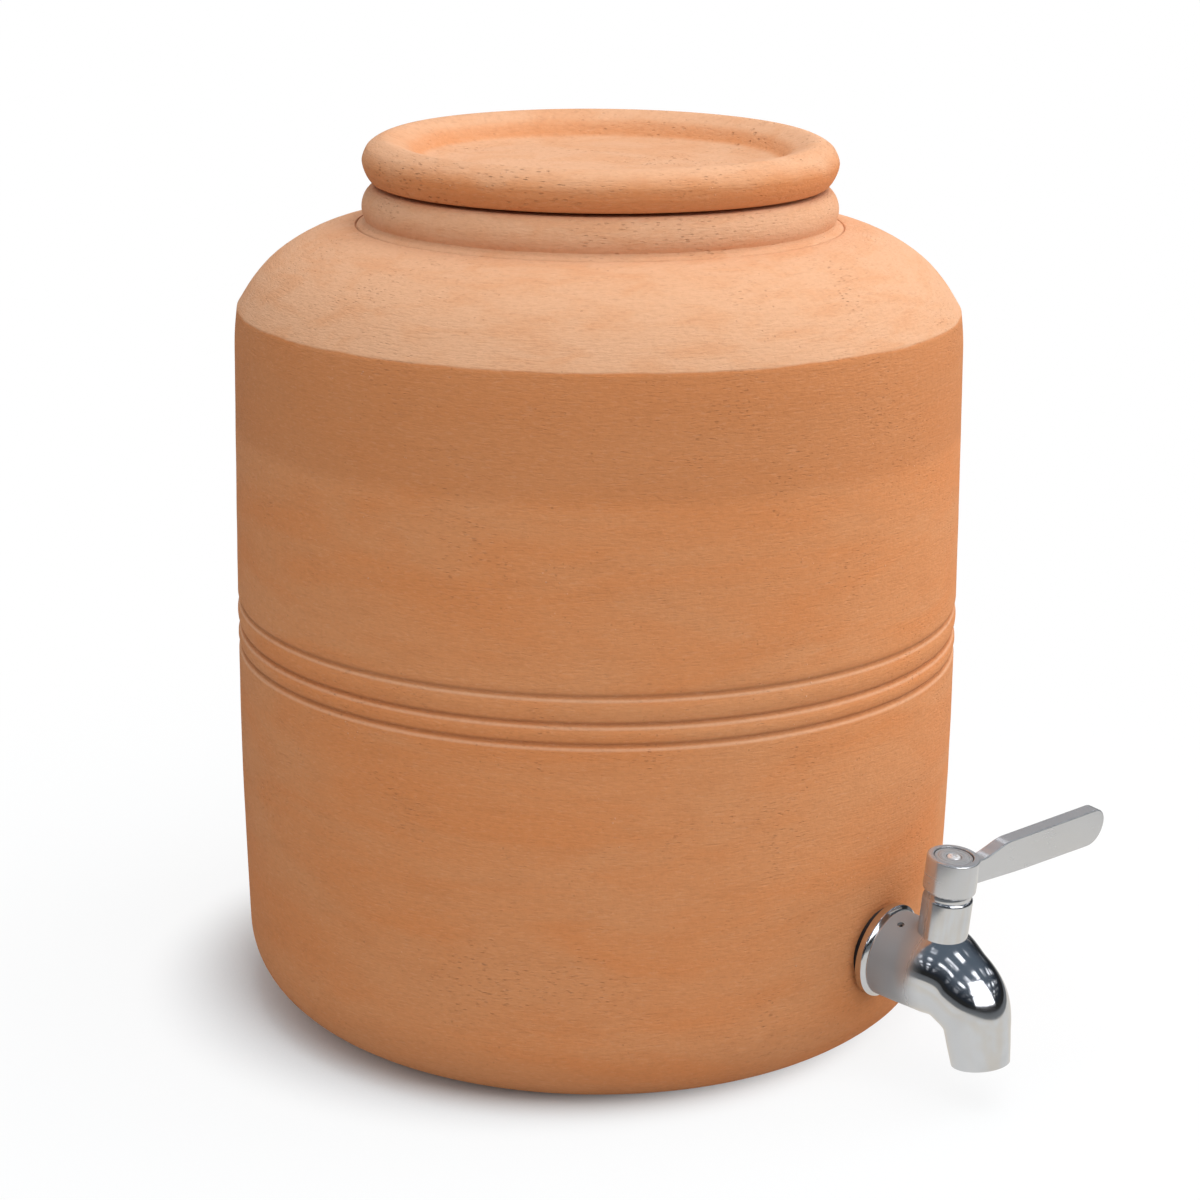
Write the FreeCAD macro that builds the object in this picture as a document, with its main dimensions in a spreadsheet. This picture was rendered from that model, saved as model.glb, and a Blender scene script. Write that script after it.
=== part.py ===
import FreeCAD, Part
import math
import os
import re

import Sketcher

# Clay water pot with a quarter-turn lever tap, in millimetres.
# +Z is up, the origin lies on the floor on the pot's axis, and the tap faces -Y.

os.makedirs("parts", exist_ok=True)
doc = FreeCAD.newDocument("ClayWaterPot")

sizes = {
    # clay wall
    "bellyRadius": 140.2,      # widest radius of the pot
    "bellyHeight": 105.0,      # height of the widest place
    "wallThickness": 9.5,
    "floorThickness": 11.0,
    "footRound": 30.0,         # rounding between the foot and the wall
    "footSpread": 2.7,         # how much the wall widens from the foot to the belly
    "footSwell": 0.7,          # bulge of that stretch
    "wallTaper": 2.0,          # how much the wall narrows from the belly to the shoulder
    "wallSwell": 0.35,         # bulge of that stretch
    "wallHeight": 265.8,       # where the wall turns into the shoulder
    "kneeInset": 6.3,          # first, tight bend of the shoulder
    "kneeRise": 17.4,
    "kneeBulge": 1.64,
    "kneeSlope": 40.0,         # direction of the surface normal at the end of the tight bend
    "shoulderRise": 39.0,      # from the top of the wall to the foot of the neck
    "shoulderBulge": 4.2,
    # turned grooves round the middle
    "grooveLow": 144.6,
    "lowBand": 7.4,            # height of the band over the low groove
    "topBand": 10.0,           # height of the band over the middle groove
    "grooveLip": 2.2,
    "grooveLowDepth": 1.5,
    "grooveMidDepth": 1.9,
    "grooveTopDepth": 1.4,
    "lowBandBulge": 1.5,
    "topBandBulge": 1.6,
    # neck and mouth
    "mouthRadius": 76.0,
    "collarWall": 12.6,        # mouth to the foot of the collar
    "collarLean": 2.4,         # how far the collar leans in towards its top
    "collarHeight": 14.3,
    "collarBulge": 2.2,
    "ledgeWidth": 3.8,
    "ledgeRise": 0.8,          # how much the ledge climbs towards the collar
    "coveHeight": 2.0,         # hollow curve at the foot of the collar
    "incisedDepth": 0.8,
    "rimRound": 1.6,
    "neckRound": 6.0,
    # lid
    "lidGap": 0.3,
    "lidOverhang": 11.5,       # lid edge beyond the mouth radius
    "lidUndercut": 4.0,        # edge of the flat under the rolled rim, in from the lid's edge
    "lidThickness": 20.1,
    "lidWaist": 9.9,           # height of the widest place of the rolled rim
    "lidCrest": 8.0,           # crest of the rim, in from the lid's edge
    "lidLip": 14.7,            # inner lip of the rim, in from the lid's edge
    "lidLipDrop": 4.1,
    "dishInset": 21.0,         # edge of the dish floor, in from the lid's edge
    "dishFloor": 9.9,
    "dishSag": 1.7,
    "lidFloorWall": 11.2,
    "plugGap": 1.6,            # slack of the locating ring in the mouth
    "plugDepth": 9.0,
    "plugWidth": 8.9,
    "plugRound": 2.0,
    "plugLean": 0.6,
    # tap: place on the pot
    "tapHeight": 49.2,
    "tapPitch": 6.0,           # the flow axis points down by this angle
    "seatDepth": 2.6,          # outer seat, in from the belly radius
    "seatWall": 7.1,           # clay between the outer and the inner seat
    "seatSlack": 0.4,
    "shankRadius": 10.48,
    "shankBore": 7.0,
    "shankHoleGap": 0.5,
    "threadGap": 0.05,
    "shankInside": 25.6,       # length of the shank on the inner side of the outer seat
    # tap: sealing stack
    "outerGasket": 2.9,
    "gasketRadius": 15.0,
    "innerGasket": 3.0,
    "innerGasketRadius": 17.0,
    "washerThickness": 1.5,
    "washerRadius": 17.0,
    "nutHeight": 8.0,
    "nutFlats": 30.0,
    "nutChamfer": 1.4,
    "flangeRadius": 18.0,
    "flangeThickness": 4.0,
    "flangeBevel": 1.5,
    "flangeLip": 1.2,
    "sealRadius": 12.3,
    "sealThickness": 1.8,
    # tap: casting
    "flareRadius": 16.4,
    "barrelRadius": 15.6,
    "barrelSwell": 0.2,
    "elbowRadius": 14.2,
    "throatRadius": 12.3,
    "spoutRadius": 11.6,
    "outletRadius": 10.8,
    "outletBore": 8.6,
    "bendStart": 28.4,
    "bendRadius": 19.0,
    "bendAngle": 75.0,
    "spoutLength": 13.9,
    "bulgeRadius": 16.4,       # round swelling of the casting under the boss
    "bulgeRise": 2.2,          # its centre, above the flow axis
    "bulgeBlend": 20.0,
    "bossRadius": 9.2,
    "bossTop": 28.2,
    "bossChamfer": 0.5,
    # valve
    "stemAxis": 27.0,          # stem axis, from the outer seat
    "ballRadius": 8.5,
    "ballPort": 5.0,
    "ballGap": 0.08,
    "seatReach": 8.3,          # back of a seat ring, from the ball's centre
    "seatFace": 4.4,           # front of a seat ring, from the ball's centre
    "seatRingRadius": 9.0,
    "seatPort": 5.2,
    "waterRadius": 6.0,
    "slotWidth": 3.2,
    "slotBottom": 5.6,
    "tangGap": 0.08,
    "tangLength": 7.4,
    "collarRadius": 4.9,
    "collarBase": 9.6,
    "collarTop": 11.2,
    "washerGap": 0.05,
    "thrustThickness": 0.75,
    "stemRadius": 3.25,
    "stemGap": 0.05,
    "packingRadius": 5.5,
    "packingBase": 14.6,
    "ringThickness": 2.2,
    "packingHeight": 3.2,
    "glandTop": 30.2,
    "glandHeadRadius": 5.0,
    "glandSlotWidth": 1.4,
    "glandSlotDepth": 1.1,
    # handle
    "handleBase": 28.5,
    "neckRadius": 8.8,
    "hubBase": 30.5,
    "hubRadius": 9.7,
    "hubTop": 47.1,
    "hubChamfer": 0.6,
    "hubCavityTop": 31.2,
    "hubCavityRadius": 5.5,
    "squareWidth": 4.6,
    "squareGap": 0.05,
    "squareBase": 32.4,
    "stemTop": 41.4,
    "hubFloor": 41.8,
    "capSeat": 44.6,
    "capRadius": 7.0,
    "capGap": 0.35,
    "capThickness": 2.2,
    "capChamfer": 0.3,
    "screwHeadRadius": 2.5,
    "screwHeadHeight": 1.5,
    "screwHeadProud": 0.4,
    "screwRadius": 1.95,
    "screwTapRadius": 2.0,
    "screwEnd": 33.5,
    "screwSlotWidth": 0.8,
    "screwSlotLength": 3.2,
    "screwSlotDepth": 0.9,
    "bladeThickness": 5.5,
    "bladeReach": 86.9,        # blade's end, from the stem axis
    "bladeTop": 46.4,
    "bladeTipBottom": 31.6,
    "bladeRootBottom": 33.9,
    "bladeKink": 38.0,
    "bladeKinkBottom": 32.3,
    "bladeNeckTop": 43.0,
    "bladeNeckEnd": 16.5,
    "bladeStepEnd": 28.2,
    "bladeTipRound": 6.4,
    "bladeEdge": 0.7,
    # stop and lock
    "stopRadius": 7.2,         # stop pin, from the stem axis
    "stopPinRadius": 0.8,
    "stopPinBase": 22.0,
    "stopPinTop": 30.9,
    "stopTrackRadius": 8.2,
    "stopSlack": 1.0,          # angle to spare at each end of the quarter turn
    "quarterTurn": 90.0,
    "restTurn": 7.0,           # the lever rests this far short of its closed stop
    "grubRadius": 1.25,
    "grubGap": 0.05,
    "grubAlong": 12.4,         # grub screw, from the outer seat
    "grubTurn": 20.0,          # round the flow axis, from the top
    "grubTop": 15.6,
    "grubLength": 3.8,
    "grubSocket": 0.7,
}

sheet = doc.addObject("Spreadsheet::Sheet", "Sizes")
for row, (alias, number) in enumerate(sizes.items(), start=1):
    sheet.set("A%d" % row, alias)
    sheet.set("B%d" % row, str(number))
    sheet.setAlias("B%d" % row, alias)
doc.recompute()

nodes = {}


def linked(text):
    """The expression with every size read from the sheet."""
    return re.sub(r"[a-z]\w*", lambda word: "Sizes." + word[0] if word[0] in sizes else word[0], str(text))


def size(text):
    """The present value of an expression."""
    return float(sheet.evalExpression(linked(text)))


def bind(item, path, text):
    item.setExpression(path, linked(text))


# ---------------------------------------------------------------- sketches and solids

def new_body(label):
    body = doc.addObject("PartDesign::Body", label)
    body.Label = label
    return body


def new_sketch(body, name, role, across="0"):
    """A sketch on one of the body's own planes, moved sideways in that plane."""
    sketch = body.newObject("Sketcher::SketchObject", name)
    plane = [item for item in body.Origin.OriginFeatures if item.Role == role][0]
    sketch.AttachmentSupport = [(plane, "")]
    sketch.MapMode = "FlatFace"
    bind(sketch, "AttachmentOffset.Base.x", across)
    return sketch


def segment(start, end, bulge):
    """A straight edge, or an arc that bulges to the right of its way by bulge."""
    if bulge is None:
        return Part.LineSegment(start, end)
    way = end - start
    half = way.Length / 2
    right = FreeCAD.Vector(way.y, -way.x, 0).normalize()
    middle = (start + end) * 0.5
    radius = (half ** 2 + bulge ** 2) / (2 * abs(bulge))
    apex = middle + right * bulge
    centre = apex - right * math.copysign(radius, bulge)
    first, last = (start, end) if bulge > 0 else (end, start)
    angles = [math.atan2(point.y - centre.y, point.x - centre.x) for point in (first, last)]
    circle = Part.Circle(centre, FreeCAD.Vector(0, 0, 1), radius)
    return Part.ArcOfCircle(circle, angles[0], angles[1])


def outline(sketch, corners):
    """Draws a closed outline, with the material on the left of its way.

    A corner is (across, up) or (across, up, bulge), where bulge belongs to the edge
    that arrives at the corner: positive bulges outwards, negative inwards.
    """
    first = sketch.GeometryCount
    count = len(corners)
    points = [FreeCAD.Vector(size(corner[0]), size(corner[1]), 0) for corner in corners]
    starts = []
    rules = []
    bound = []
    for index in range(count):
        arriving = corners[(index + 1) % count]
        bulge = arriving[2] if len(arriving) > 2 else None
        amount = None if bulge is None else size(bulge)
        edge = segment(points[index], points[(index + 1) % count], amount)
        sketch.addGeometry(edge, False)
        forward = amount is None or amount > 0
        starts.append((1, 2) if forward else (2, 1))
        if bulge is not None:
            x0, y0 = corners[index][:2]
            x1, y1 = arriving[:2]
            chord = "(((%s) - (%s))^2 + ((%s) - (%s))^2)" % (x1, x0, y1, y0)
            radius = "(%s / 4 + (%s)^2) / (2 * abs(%s))" % (chord, bulge, bulge)
            rules.append(Sketcher.Constraint("Radius", first + index, edge.Radius))
            bound.append(radius)
    for index in range(count):
        after = (index + 1) % count
        rules.append(Sketcher.Constraint(
            "Coincident", first + index, starts[index][1], first + after, starts[after][0]))
        bound.append(None)
        for kind, value, text in (
                ("DistanceX", points[index].x, corners[index][0]),
                ("DistanceY", points[index].y, corners[index][1])):
            rules.append(Sketcher.Constraint(kind, -1, 1, first + index, starts[index][0], value))
            bound.append(text)
    offset = sketch.ConstraintCount
    sketch.addConstraint(rules)
    for index, text in enumerate(bound):
        if text is not None:
            bind(sketch, "Constraints[%d]" % (offset + index), text)


def circle(sketch, across, up, radius):
    index = sketch.addGeometry(
        Part.Circle(FreeCAD.Vector(size(across), size(up), 0), FreeCAD.Vector(0, 0, 1), size(radius)), False)
    offset = sketch.ConstraintCount
    sketch.addConstraint([
        Sketcher.Constraint("Radius", index, size(radius)),
        Sketcher.Constraint("DistanceX", -1, 1, index, 3, size(across)),
        Sketcher.Constraint("DistanceY", -1, 1, index, 3, size(up)),
    ])
    for step, text in enumerate((radius, across, up)):
        bind(sketch, "Constraints[%d]" % (offset + step), text)


def spin(body, name, outlines, axis="V_Axis", across="0", cut=False):
    """Adds or cuts outlines turned a full turn about a sketch axis."""
    sketch = new_sketch(body, name + "_outline", "XZ_Plane", across)
    for corners in outlines:
        outline(sketch, corners)
    kind = "PartDesign::Groove" if cut else "PartDesign::Revolution"
    turn = body.newObject(kind, name)
    turn.Profile = sketch
    turn.ReferenceAxis = (sketch, [axis])
    turn.Angle = 360
    return turn


def turned(label, corners, axis="V_Axis"):
    body = new_body(label)
    spin(body, label + "_turn", [corners], axis)
    return body


def ring(label, inner, outer, low, high, axis="V_Axis"):
    """A plain ring: low and high lie along the axis."""
    if axis == "V_Axis":
        corners = [(inner, low), (outer, low), (outer, high), (inner, high)]
    else:
        corners = [(low, inner), (high, inner), (high, outer), (low, outer)]
    return turned(label, corners, axis)


def rod(name, radius, low, high, place=None):
    """A cylinder along Z from low to high, before place is applied."""
    item = doc.addObject("Part::Cylinder", name)
    bind(item, "Radius", radius)
    bind(item, "Height", "(%s) - (%s)" % (high, low))
    lift = FreeCAD.Placement(FreeCAD.Vector(0, 0, size(low)), FreeCAD.Rotation())
    item.Placement = (place or FreeCAD.Placement()).multiply(lift)
    return item


def block(name, length, width, low, high):
    """A box centred on the Z axis, from low to high."""
    item = doc.addObject("Part::Box", name)
    bind(item, "Length", length)
    bind(item, "Width", width)
    bind(item, "Height", "(%s) - (%s)" % (high, low))
    bind(item, "Placement.Base.x", "-(%s) / 2" % length)
    bind(item, "Placement.Base.y", "-(%s) / 2" % width)
    bind(item, "Placement.Base.z", low)
    return item


def cut(label, base, tools):
    tool = tools[0]
    if len(tools) > 1:
        tool = doc.addObject("Part::MultiFuse", label + "_tools")
        tool.Shapes = tools
    item = doc.addObject("Part::Cut", label)
    item.Base = base
    item.Tool = tool
    return item


def node(item, label, place=None):
    """Names a finished sub-part, and puts it in its place."""
    item.Label = label
    if place is not None:
        item.Placement = place
    nodes[label] = item
    return item


def turn_to_x(move="0"):
    """Lays something modelled along Z along X instead."""
    return FreeCAD.Placement(FreeCAD.Vector(size(move), 0, 0),
                             FreeCAD.Rotation(FreeCAD.Vector(0, 1, 0), 90))


# ---------------------------------------------------------------- shared places and lengths

# the tap's own frame: X along the flow, Z up the stem, Y to the pot's +X side
tapPlace = FreeCAD.Placement(
    FreeCAD.Vector(0, -size("bellyRadius - seatDepth"), size("tapHeight")),
    FreeCAD.Rotation(-90, size("tapPitch"), 0))
stemPlace = tapPlace.multiply(FreeCAD.Placement(FreeCAD.Vector(size("stemAxis"), 0, 0), FreeCAD.Rotation()))
# what turns with the lever is drawn at the closed stop, with the blade along Y
leverPlace = stemPlace.multiply(FreeCAD.Placement(
    FreeCAD.Vector(0, 0, 0), FreeCAD.Rotation(FreeCAD.Vector(0, 0, 1), -size("restTurn"))))

quarterBulge = "(1 - sqrt(2) / 2)"    # bulge of a quarter circle of radius 1

# pot
footEdge = "(bellyRadius - footSpread)"
grooveMid = "(grooveLow + lowBand)"
grooveTop = "(grooveLow + lowBand + topBand)"
shoulderRadius = "(bellyRadius - wallTaper)"
neckHeight = "(wallHeight + shoulderRise)"
rimHeight = "(wallHeight + shoulderRise + collarHeight)"
collarFoot = "(mouthRadius + collarWall)"
neckFoot = "(mouthRadius + collarWall + ledgeWidth)"
# tap, along the flow
flangeFront = "(outerGasket + flangeThickness)"
seatBackIn = "(stemAxis - seatReach)"
seatBackOut = "(stemAxis + seatReach)"
threadEnd = "(stemAxis - seatReach - 4)"
nutBack = "(-seatWall - innerGasket - washerThickness)"


# ---------------------------------------------------------------- pot

def pot_body():
    knee = "(%s - kneeInset)" % shoulderRadius
    innerKnee = "(%s - kneeInset - wallThickness * cos(kneeSlope))" % shoulderRadius
    innerRound = "(footRound - wallThickness)"
    shell = turned("pot_wall", [
        ("0", "0"),
        (footEdge + " - footRound", "0"),
        (footEdge, "footRound", "footRound * " + quarterBulge),
        ("bellyRadius - footSpread / 2 + footSwell", "(footRound + bellyHeight) / 2"),
        ("bellyRadius", "bellyHeight"),
        ("bellyRadius - wallSwell / 2", "grooveLow - grooveLip"),
        ("bellyRadius - grooveLowDepth", "grooveLow"),
        ("bellyRadius - grooveMidDepth", grooveMid, "lowBandBulge"),
        ("bellyRadius - grooveTopDepth", grooveTop, "topBandBulge"),
        ("bellyRadius - wallSwell", grooveTop + " + grooveLip"),
        (shoulderRadius, "wallHeight", "wallSwell"),
        (knee, "wallHeight + kneeRise", "kneeBulge"),
        (neckFoot, neckHeight, "shoulderBulge"),
        (neckFoot + " - incisedDepth / 2", neckHeight + " - incisedDepth"),
        (neckFoot + " - incisedDepth", neckHeight + " + ledgeRise / 4"),
        (collarFoot + " + ledgeRise", neckHeight + " + ledgeRise"),
        (collarFoot, neckHeight + " + coveHeight"),
        (collarFoot + " - collarLean", rimHeight + " - rimRound", "collarBulge"),
        (collarFoot + " - collarLean - rimRound", rimHeight, "rimRound * " + quarterBulge),
        ("mouthRadius + rimRound", rimHeight),
        ("mouthRadius", rimHeight + " - rimRound"),
        ("mouthRadius", neckHeight + " - wallThickness + neckRound"),
        ("mouthRadius + neckRound", neckHeight + " - wallThickness"),
        (innerKnee, "wallHeight + kneeRise - wallThickness * sin(kneeSlope)"),
        (shoulderRadius + " - wallThickness", "wallHeight"),
        ("bellyRadius - wallThickness", "bellyHeight"),
        (footEdge + " - wallThickness", "floorThickness + " + innerRound),
        (footEdge + " - wallThickness - " + innerRound, "floorThickness",
         "-" + innerRound + " * " + quarterBulge),
        ("0", "floorThickness"),
    ])
    # the drilled hole, with a flat pared on both sides of the wall for the gaskets
    hole = rod("tap_hole", "shankRadius + shankHoleGap", "-2 * wallThickness", "wallThickness",
               tapPlace.multiply(turn_to_x()))
    outer = rod("tap_outer_flat", "gasketRadius + seatSlack", "0", "wallThickness",
                tapPlace.multiply(turn_to_x()))
    inner = rod("tap_inner_flat", "innerGasketRadius + seatSlack", "-seatWall - wallThickness", "-seatWall",
                tapPlace.multiply(turn_to_x()))
    node(cut("pot_body", shell, [hole, outer, inner]), "pot_body")


def lid():
    edge = "(mouthRadius + lidOverhang)"
    plug = "(mouthRadius - plugGap)"
    floor = "(dishFloor - lidFloorWall)"
    body = turned("lid", [
        ("0", floor + " - dishSag"),
        (plug + " - plugWidth", floor),
        (plug + " - plugWidth + plugLean", "plugRound - plugDepth"),
        (plug + " - plugWidth + plugLean + plugRound", "-plugDepth", "plugRound * " + quarterBulge),
        (plug + " - plugRound", "-plugDepth"),
        (plug, "plugRound - plugDepth", "plugRound * " + quarterBulge),
        (plug, "0"),
        (edge + " - lidUndercut", "0"),
        (edge, "lidWaist", "2"),
        (edge + " - lidCrest", "lidThickness", "2.6"),
        (edge + " - lidLip", "lidThickness - lidLipDrop", "1.2"),
        (edge + " - dishInset", "dishFloor", "-1.3"),
        ("0", "dishFloor - dishSag"),
    ])
    bind(body, "Placement.Base.z", rimHeight + " + lidGap")
    node(body, "lid")


# ---------------------------------------------------------------- fixing through the wall

def fixing():
    hole = "shankRadius + shankHoleGap"
    node(ring("outer_gasket", hole, "gasketRadius", "0", "outerGasket", "H_Axis"), "outer_gasket", tapPlace)
    node(turned("wall_flange", [
        ("outerGasket", hole),
        (flangeFront, hole),
        (flangeFront, "flangeRadius - flangeBevel"),
        (flangeFront + " - flangeLip", "flangeRadius"),
        ("outerGasket", "flangeRadius"),
    ], "H_Axis"), "wall_flange", tapPlace)
    node(turned("shank", [
        ("-shankInside", "shankBore"),
        (seatBackIn, "shankBore"),
        (seatBackIn, "seatRingRadius"),
        (threadEnd, "seatRingRadius"),
        (threadEnd, "shankRadius"),
        ("1 - shankInside", "shankRadius"),
        ("-shankInside", "shankRadius - 1"),
    ], "H_Axis"), "shank", tapPlace)
    node(ring("inner_gasket", hole, "innerGasketRadius", "-seatWall - innerGasket", "-seatWall", "H_Axis"),
         "inner_gasket", tapPlace)
    node(ring("inner_washer", hole, "washerRadius", nutBack, "-seatWall - innerGasket", "H_Axis"),
         "inner_washer", tapPlace)
    node(ring("shank_seal", "shankRadius + threadGap", "sealRadius", flangeFront,
              flangeFront + " + sealThickness", "H_Axis"), "shank_seal", tapPlace)


def lock_nut():
    corner = "(nutFlats / sqrt(3))"
    blank = turned("lock_nut_blank", [
        (nutBack + " - nutHeight", "shankRadius + threadGap"),
        (nutBack, "shankRadius + threadGap"),
        (nutBack, corner + " - nutChamfer"),
        (nutBack + " - nutChamfer / 2", corner + " + 0.2"),
        (nutBack + " - nutHeight + nutChamfer / 2", corner + " + 0.2"),
        (nutBack + " - nutHeight", corner + " - nutChamfer"),
    ], "H_Axis")
    hexagon = doc.addObject("Part::Prism", "lock_nut_hexagon")
    hexagon.Polygon = 6
    bind(hexagon, "Circumradius", corner)
    bind(hexagon, "Height", "nutHeight")
    hexagon.Placement = turn_to_x(nutBack + " - nutHeight")
    nut = doc.addObject("Part::Common", "lock_nut")
    nut.Base = blank
    nut.Tool = hexagon
    node(nut, "lock_nut", tapPlace)


# ---------------------------------------------------------------- casting

def bend_point(start, radius, angle, extra):
    """A point of a path that runs along X, bends down and runs on, and its heading.

    extra is the straight length before the bend, as a negative number, or after it.
    """
    turn = math.radians(angle)
    across = start + radius * math.sin(turn) + extra * math.cos(turn)
    up = -radius * (1 - math.cos(turn)) - extra * math.sin(turn)
    return FreeCAD.Vector(across, 0, up)


def bent_bore(body, name, bore, start, radius, angle, run):
    """Cuts a round bore along a path that runs along X, bends down and runs on."""
    line = new_sketch(body, name + "_path", "XZ_Plane")
    low = math.radians(90 - angle)
    first = FreeCAD.Vector(start, 0, 0)
    last = FreeCAD.Vector(start + radius * math.cos(low), -radius * (1 - math.sin(low)), 0)
    end = last + FreeCAD.Vector(math.sin(low), -math.cos(low), 0) * run
    centre = FreeCAD.Vector(start, -radius, 0)
    line.addGeometry(Part.LineSegment(first - FreeCAD.Vector(1, 0, 0), first), False)
    line.addGeometry(Part.ArcOfCircle(
        Part.Circle(centre, FreeCAD.Vector(0, 0, 1), radius), low, math.radians(90)), False)
    line.addGeometry(Part.LineSegment(last, end), False)
    rules = [Sketcher.Constraint("Coincident", 0, 2, 1, 2), Sketcher.Constraint("Tangent", 1, 1, 2, 1)]
    for edge, point, place in ((0, 1, first - FreeCAD.Vector(1, 0, 0)), (0, 2, first), (1, 3, centre), (2, 2, end)):
        rules.append(Sketcher.Constraint("DistanceX", -1, 1, edge, point, place.x))
        rules.append(Sketcher.Constraint("DistanceY", -1, 1, edge, point, place.y))
    line.addConstraint(rules)
    section = body.newObject("Sketcher::SketchObject", name + "_section")
    plane = [item for item in body.Origin.OriginFeatures if item.Role == "YZ_Plane"][0]
    section.AttachmentSupport = [(plane, "")]
    section.MapMode = "FlatFace"
    section.AttachmentOffset = FreeCAD.Placement(FreeCAD.Vector(0, 0, start - 1), FreeCAD.Rotation())
    circle(section, "0", "0", bore)
    sweep = body.newObject("PartDesign::SubtractivePipe", name)
    sweep.Profile = section
    sweep.Spine = (line, ["Edge1", "Edge2", "Edge3"])
    return sweep


def pipe(body, name, start, radius, stations):
    """Lofts through circles set square to the path; a station is (angle, extra, radius)."""
    sections = []
    for index, (angle, extra, section) in enumerate(stations):
        sketch = body.newObject("Sketcher::SketchObject", "%s_section_%d" % (name, index + 1))
        plane = [item for item in body.Origin.OriginFeatures if item.Role == "YZ_Plane"][0]
        sketch.AttachmentSupport = [(plane, "")]
        sketch.MapMode = "FlatFace"
        point = bend_point(start, radius, angle, extra)
        # on the YZ plane the sketch's own axes are Y, Z and X
        sketch.AttachmentOffset = FreeCAD.Placement(
            FreeCAD.Vector(0, point.z, point.x), FreeCAD.Rotation(FreeCAD.Vector(1, 0, 0), angle))
        circle(sketch, "0", "0", section)
        sections.append(sketch)
    loft = body.newObject("PartDesign::AdditiveLoft", name)
    loft.Profile = sections[0]
    loft.Sections = sections[1:]
    return loft


def tap_body():
    body = new_body("tap_casting")
    start = size("bendStart")
    bend = size("bendRadius")
    angle = size("bendAngle")
    flare = size(flangeFront) - start
    spout = size("spoutLength")
    pipe(body, "tap_outside", start, bend, [
        (0, flare, "flareRadius"),
        (0, flare * 2 / 3, "(flareRadius * 2 + barrelRadius) / 3 + barrelSwell"),
        (0, flare / 3, "(flareRadius + barrelRadius * 2) / 3 + barrelSwell"),
        (0, 0, "barrelRadius"),
        (angle / 3, 0, "(barrelRadius + elbowRadius) / 2"),
        (angle * 2 / 3, 0, "elbowRadius"),
        (angle, 0, "throatRadius"),
        (angle, spout / 2, "spoutRadius"),
        (angle, spout, "outletRadius"),
    ])
    bulge = spin(body, "valve_bulge", [[
        ("0", "bulgeRise - bulgeRadius"),
        ("bulgeRadius", "bulgeRise", "bulgeRadius * " + quarterBulge),
        ("0", "bulgeRise + bulgeRadius", "bulgeRadius * " + quarterBulge),
    ]], "V_Axis", "stemAxis")
    doc.recompute()
    soften = []
    for index, edge in enumerate(bulge.Shape.Edges, start=1):
        sides = {type(face.Surface).__name__ for face in bulge.Shape.ancestorsOfType(edge, Part.Face)}
        if "Sphere" in sides and len(sides) == 2:
            soften.append("Edge%d" % index)
    blend = body.newObject("PartDesign::Fillet", "bulge_blend")
    blend.Base = (bulge, soften)
    bind(blend, "Radius", "bulgeBlend")
    spin(body, "stem_boss", [[
        ("0", "0"),
        ("bossRadius", "0"),
        ("bossRadius", "bossTop - bossChamfer"),
        ("bossRadius - bossChamfer", "bossTop"),
        ("0", "bossTop"),
    ]], "V_Axis", "stemAxis")

    # inlet thread, ball chamber and outlet seat
    spin(body, "ball_chamber", [[
        ("0", "0"),
        (seatBackOut, "0"),
        (seatBackOut, "seatRingRadius + threadGap"),
        (threadEnd, "seatRingRadius + threadGap"),
        (threadEnd, "shankRadius + threadGap"),
        (flangeFront + " + sealThickness", "shankRadius + threadGap"),
        (flangeFront + " + sealThickness", "sealRadius"),
        ("0", "sealRadius"),
    ]], "H_Axis", cut=True)

    # waterway from the outlet seat to the mouth of the spout, on a tighter bend
    end = bend_point(start, bend, angle, spout)
    begin = size(seatBackOut)
    turn = math.radians(angle)
    drop = -end.z
    reach = end.x - begin
    run = (reach * (1 - math.cos(turn)) - drop * math.sin(turn)) / (
        math.cos(turn) * (1 - math.cos(turn)) - math.sin(turn) ** 2)
    inner = (drop - run * math.sin(turn)) / (1 - math.cos(turn))
    bent_bore(body, "waterway", "waterRadius", begin, inner, angle, run)

    # stem way: collar pocket, stem hole and packing chamber
    spin(body, "stem_way", [[
        ("0", "ballPort"),
        ("collarRadius + 0.2", "ballPort"),
        ("collarRadius + 0.2", "collarTop + washerGap * 2 + thrustThickness"),
        ("stemRadius + stemGap", "collarTop + washerGap * 2 + thrustThickness"),
        ("stemRadius + stemGap", "packingBase"),
        ("packingRadius", "packingBase"),
        ("packingRadius", "bossTop + 1"),
        ("0", "bossTop + 1"),
    ]], "V_Axis", "stemAxis", cut=True)

    # the mouth of the spout flares
    mouth = doc.addObject("Part::Cone", "spout_mouth")
    bind(mouth, "Radius1", "waterRadius")
    bind(mouth, "Radius2", "outletBore + (outletBore - waterRadius) / 4")
    mouth.Height = run * 1.25
    mouth.Placement = FreeCAD.Placement(bend_point(begin, inner, angle, 0),
                                        FreeCAD.Rotation(FreeCAD.Vector(0, 1, 0), 90 + angle))

    pin_hole = rod("stop_pin_hole", "stopPinRadius", "stopPinBase", "bossTop + 1")
    pin_hole.Placement.Base = FreeCAD.Vector(size("stemAxis - stopRadius"), 0, size("stopPinBase"))
    grub_hole = rod("grub_hole", "grubRadius + grubGap", "shankRadius", "flareRadius + 2", grub_place())
    node(cut("tap_body", body, [mouth, pin_hole, grub_hole]), "tap_body", tapPlace)


def grub_place():
    """Across the flow axis, turned from the top towards -Y of the tap's frame."""
    return FreeCAD.Placement(FreeCAD.Vector(size("grubAlong"), 0, 0),
                             FreeCAD.Rotation(FreeCAD.Vector(1, 0, 0), size("grubTurn")))


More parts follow.
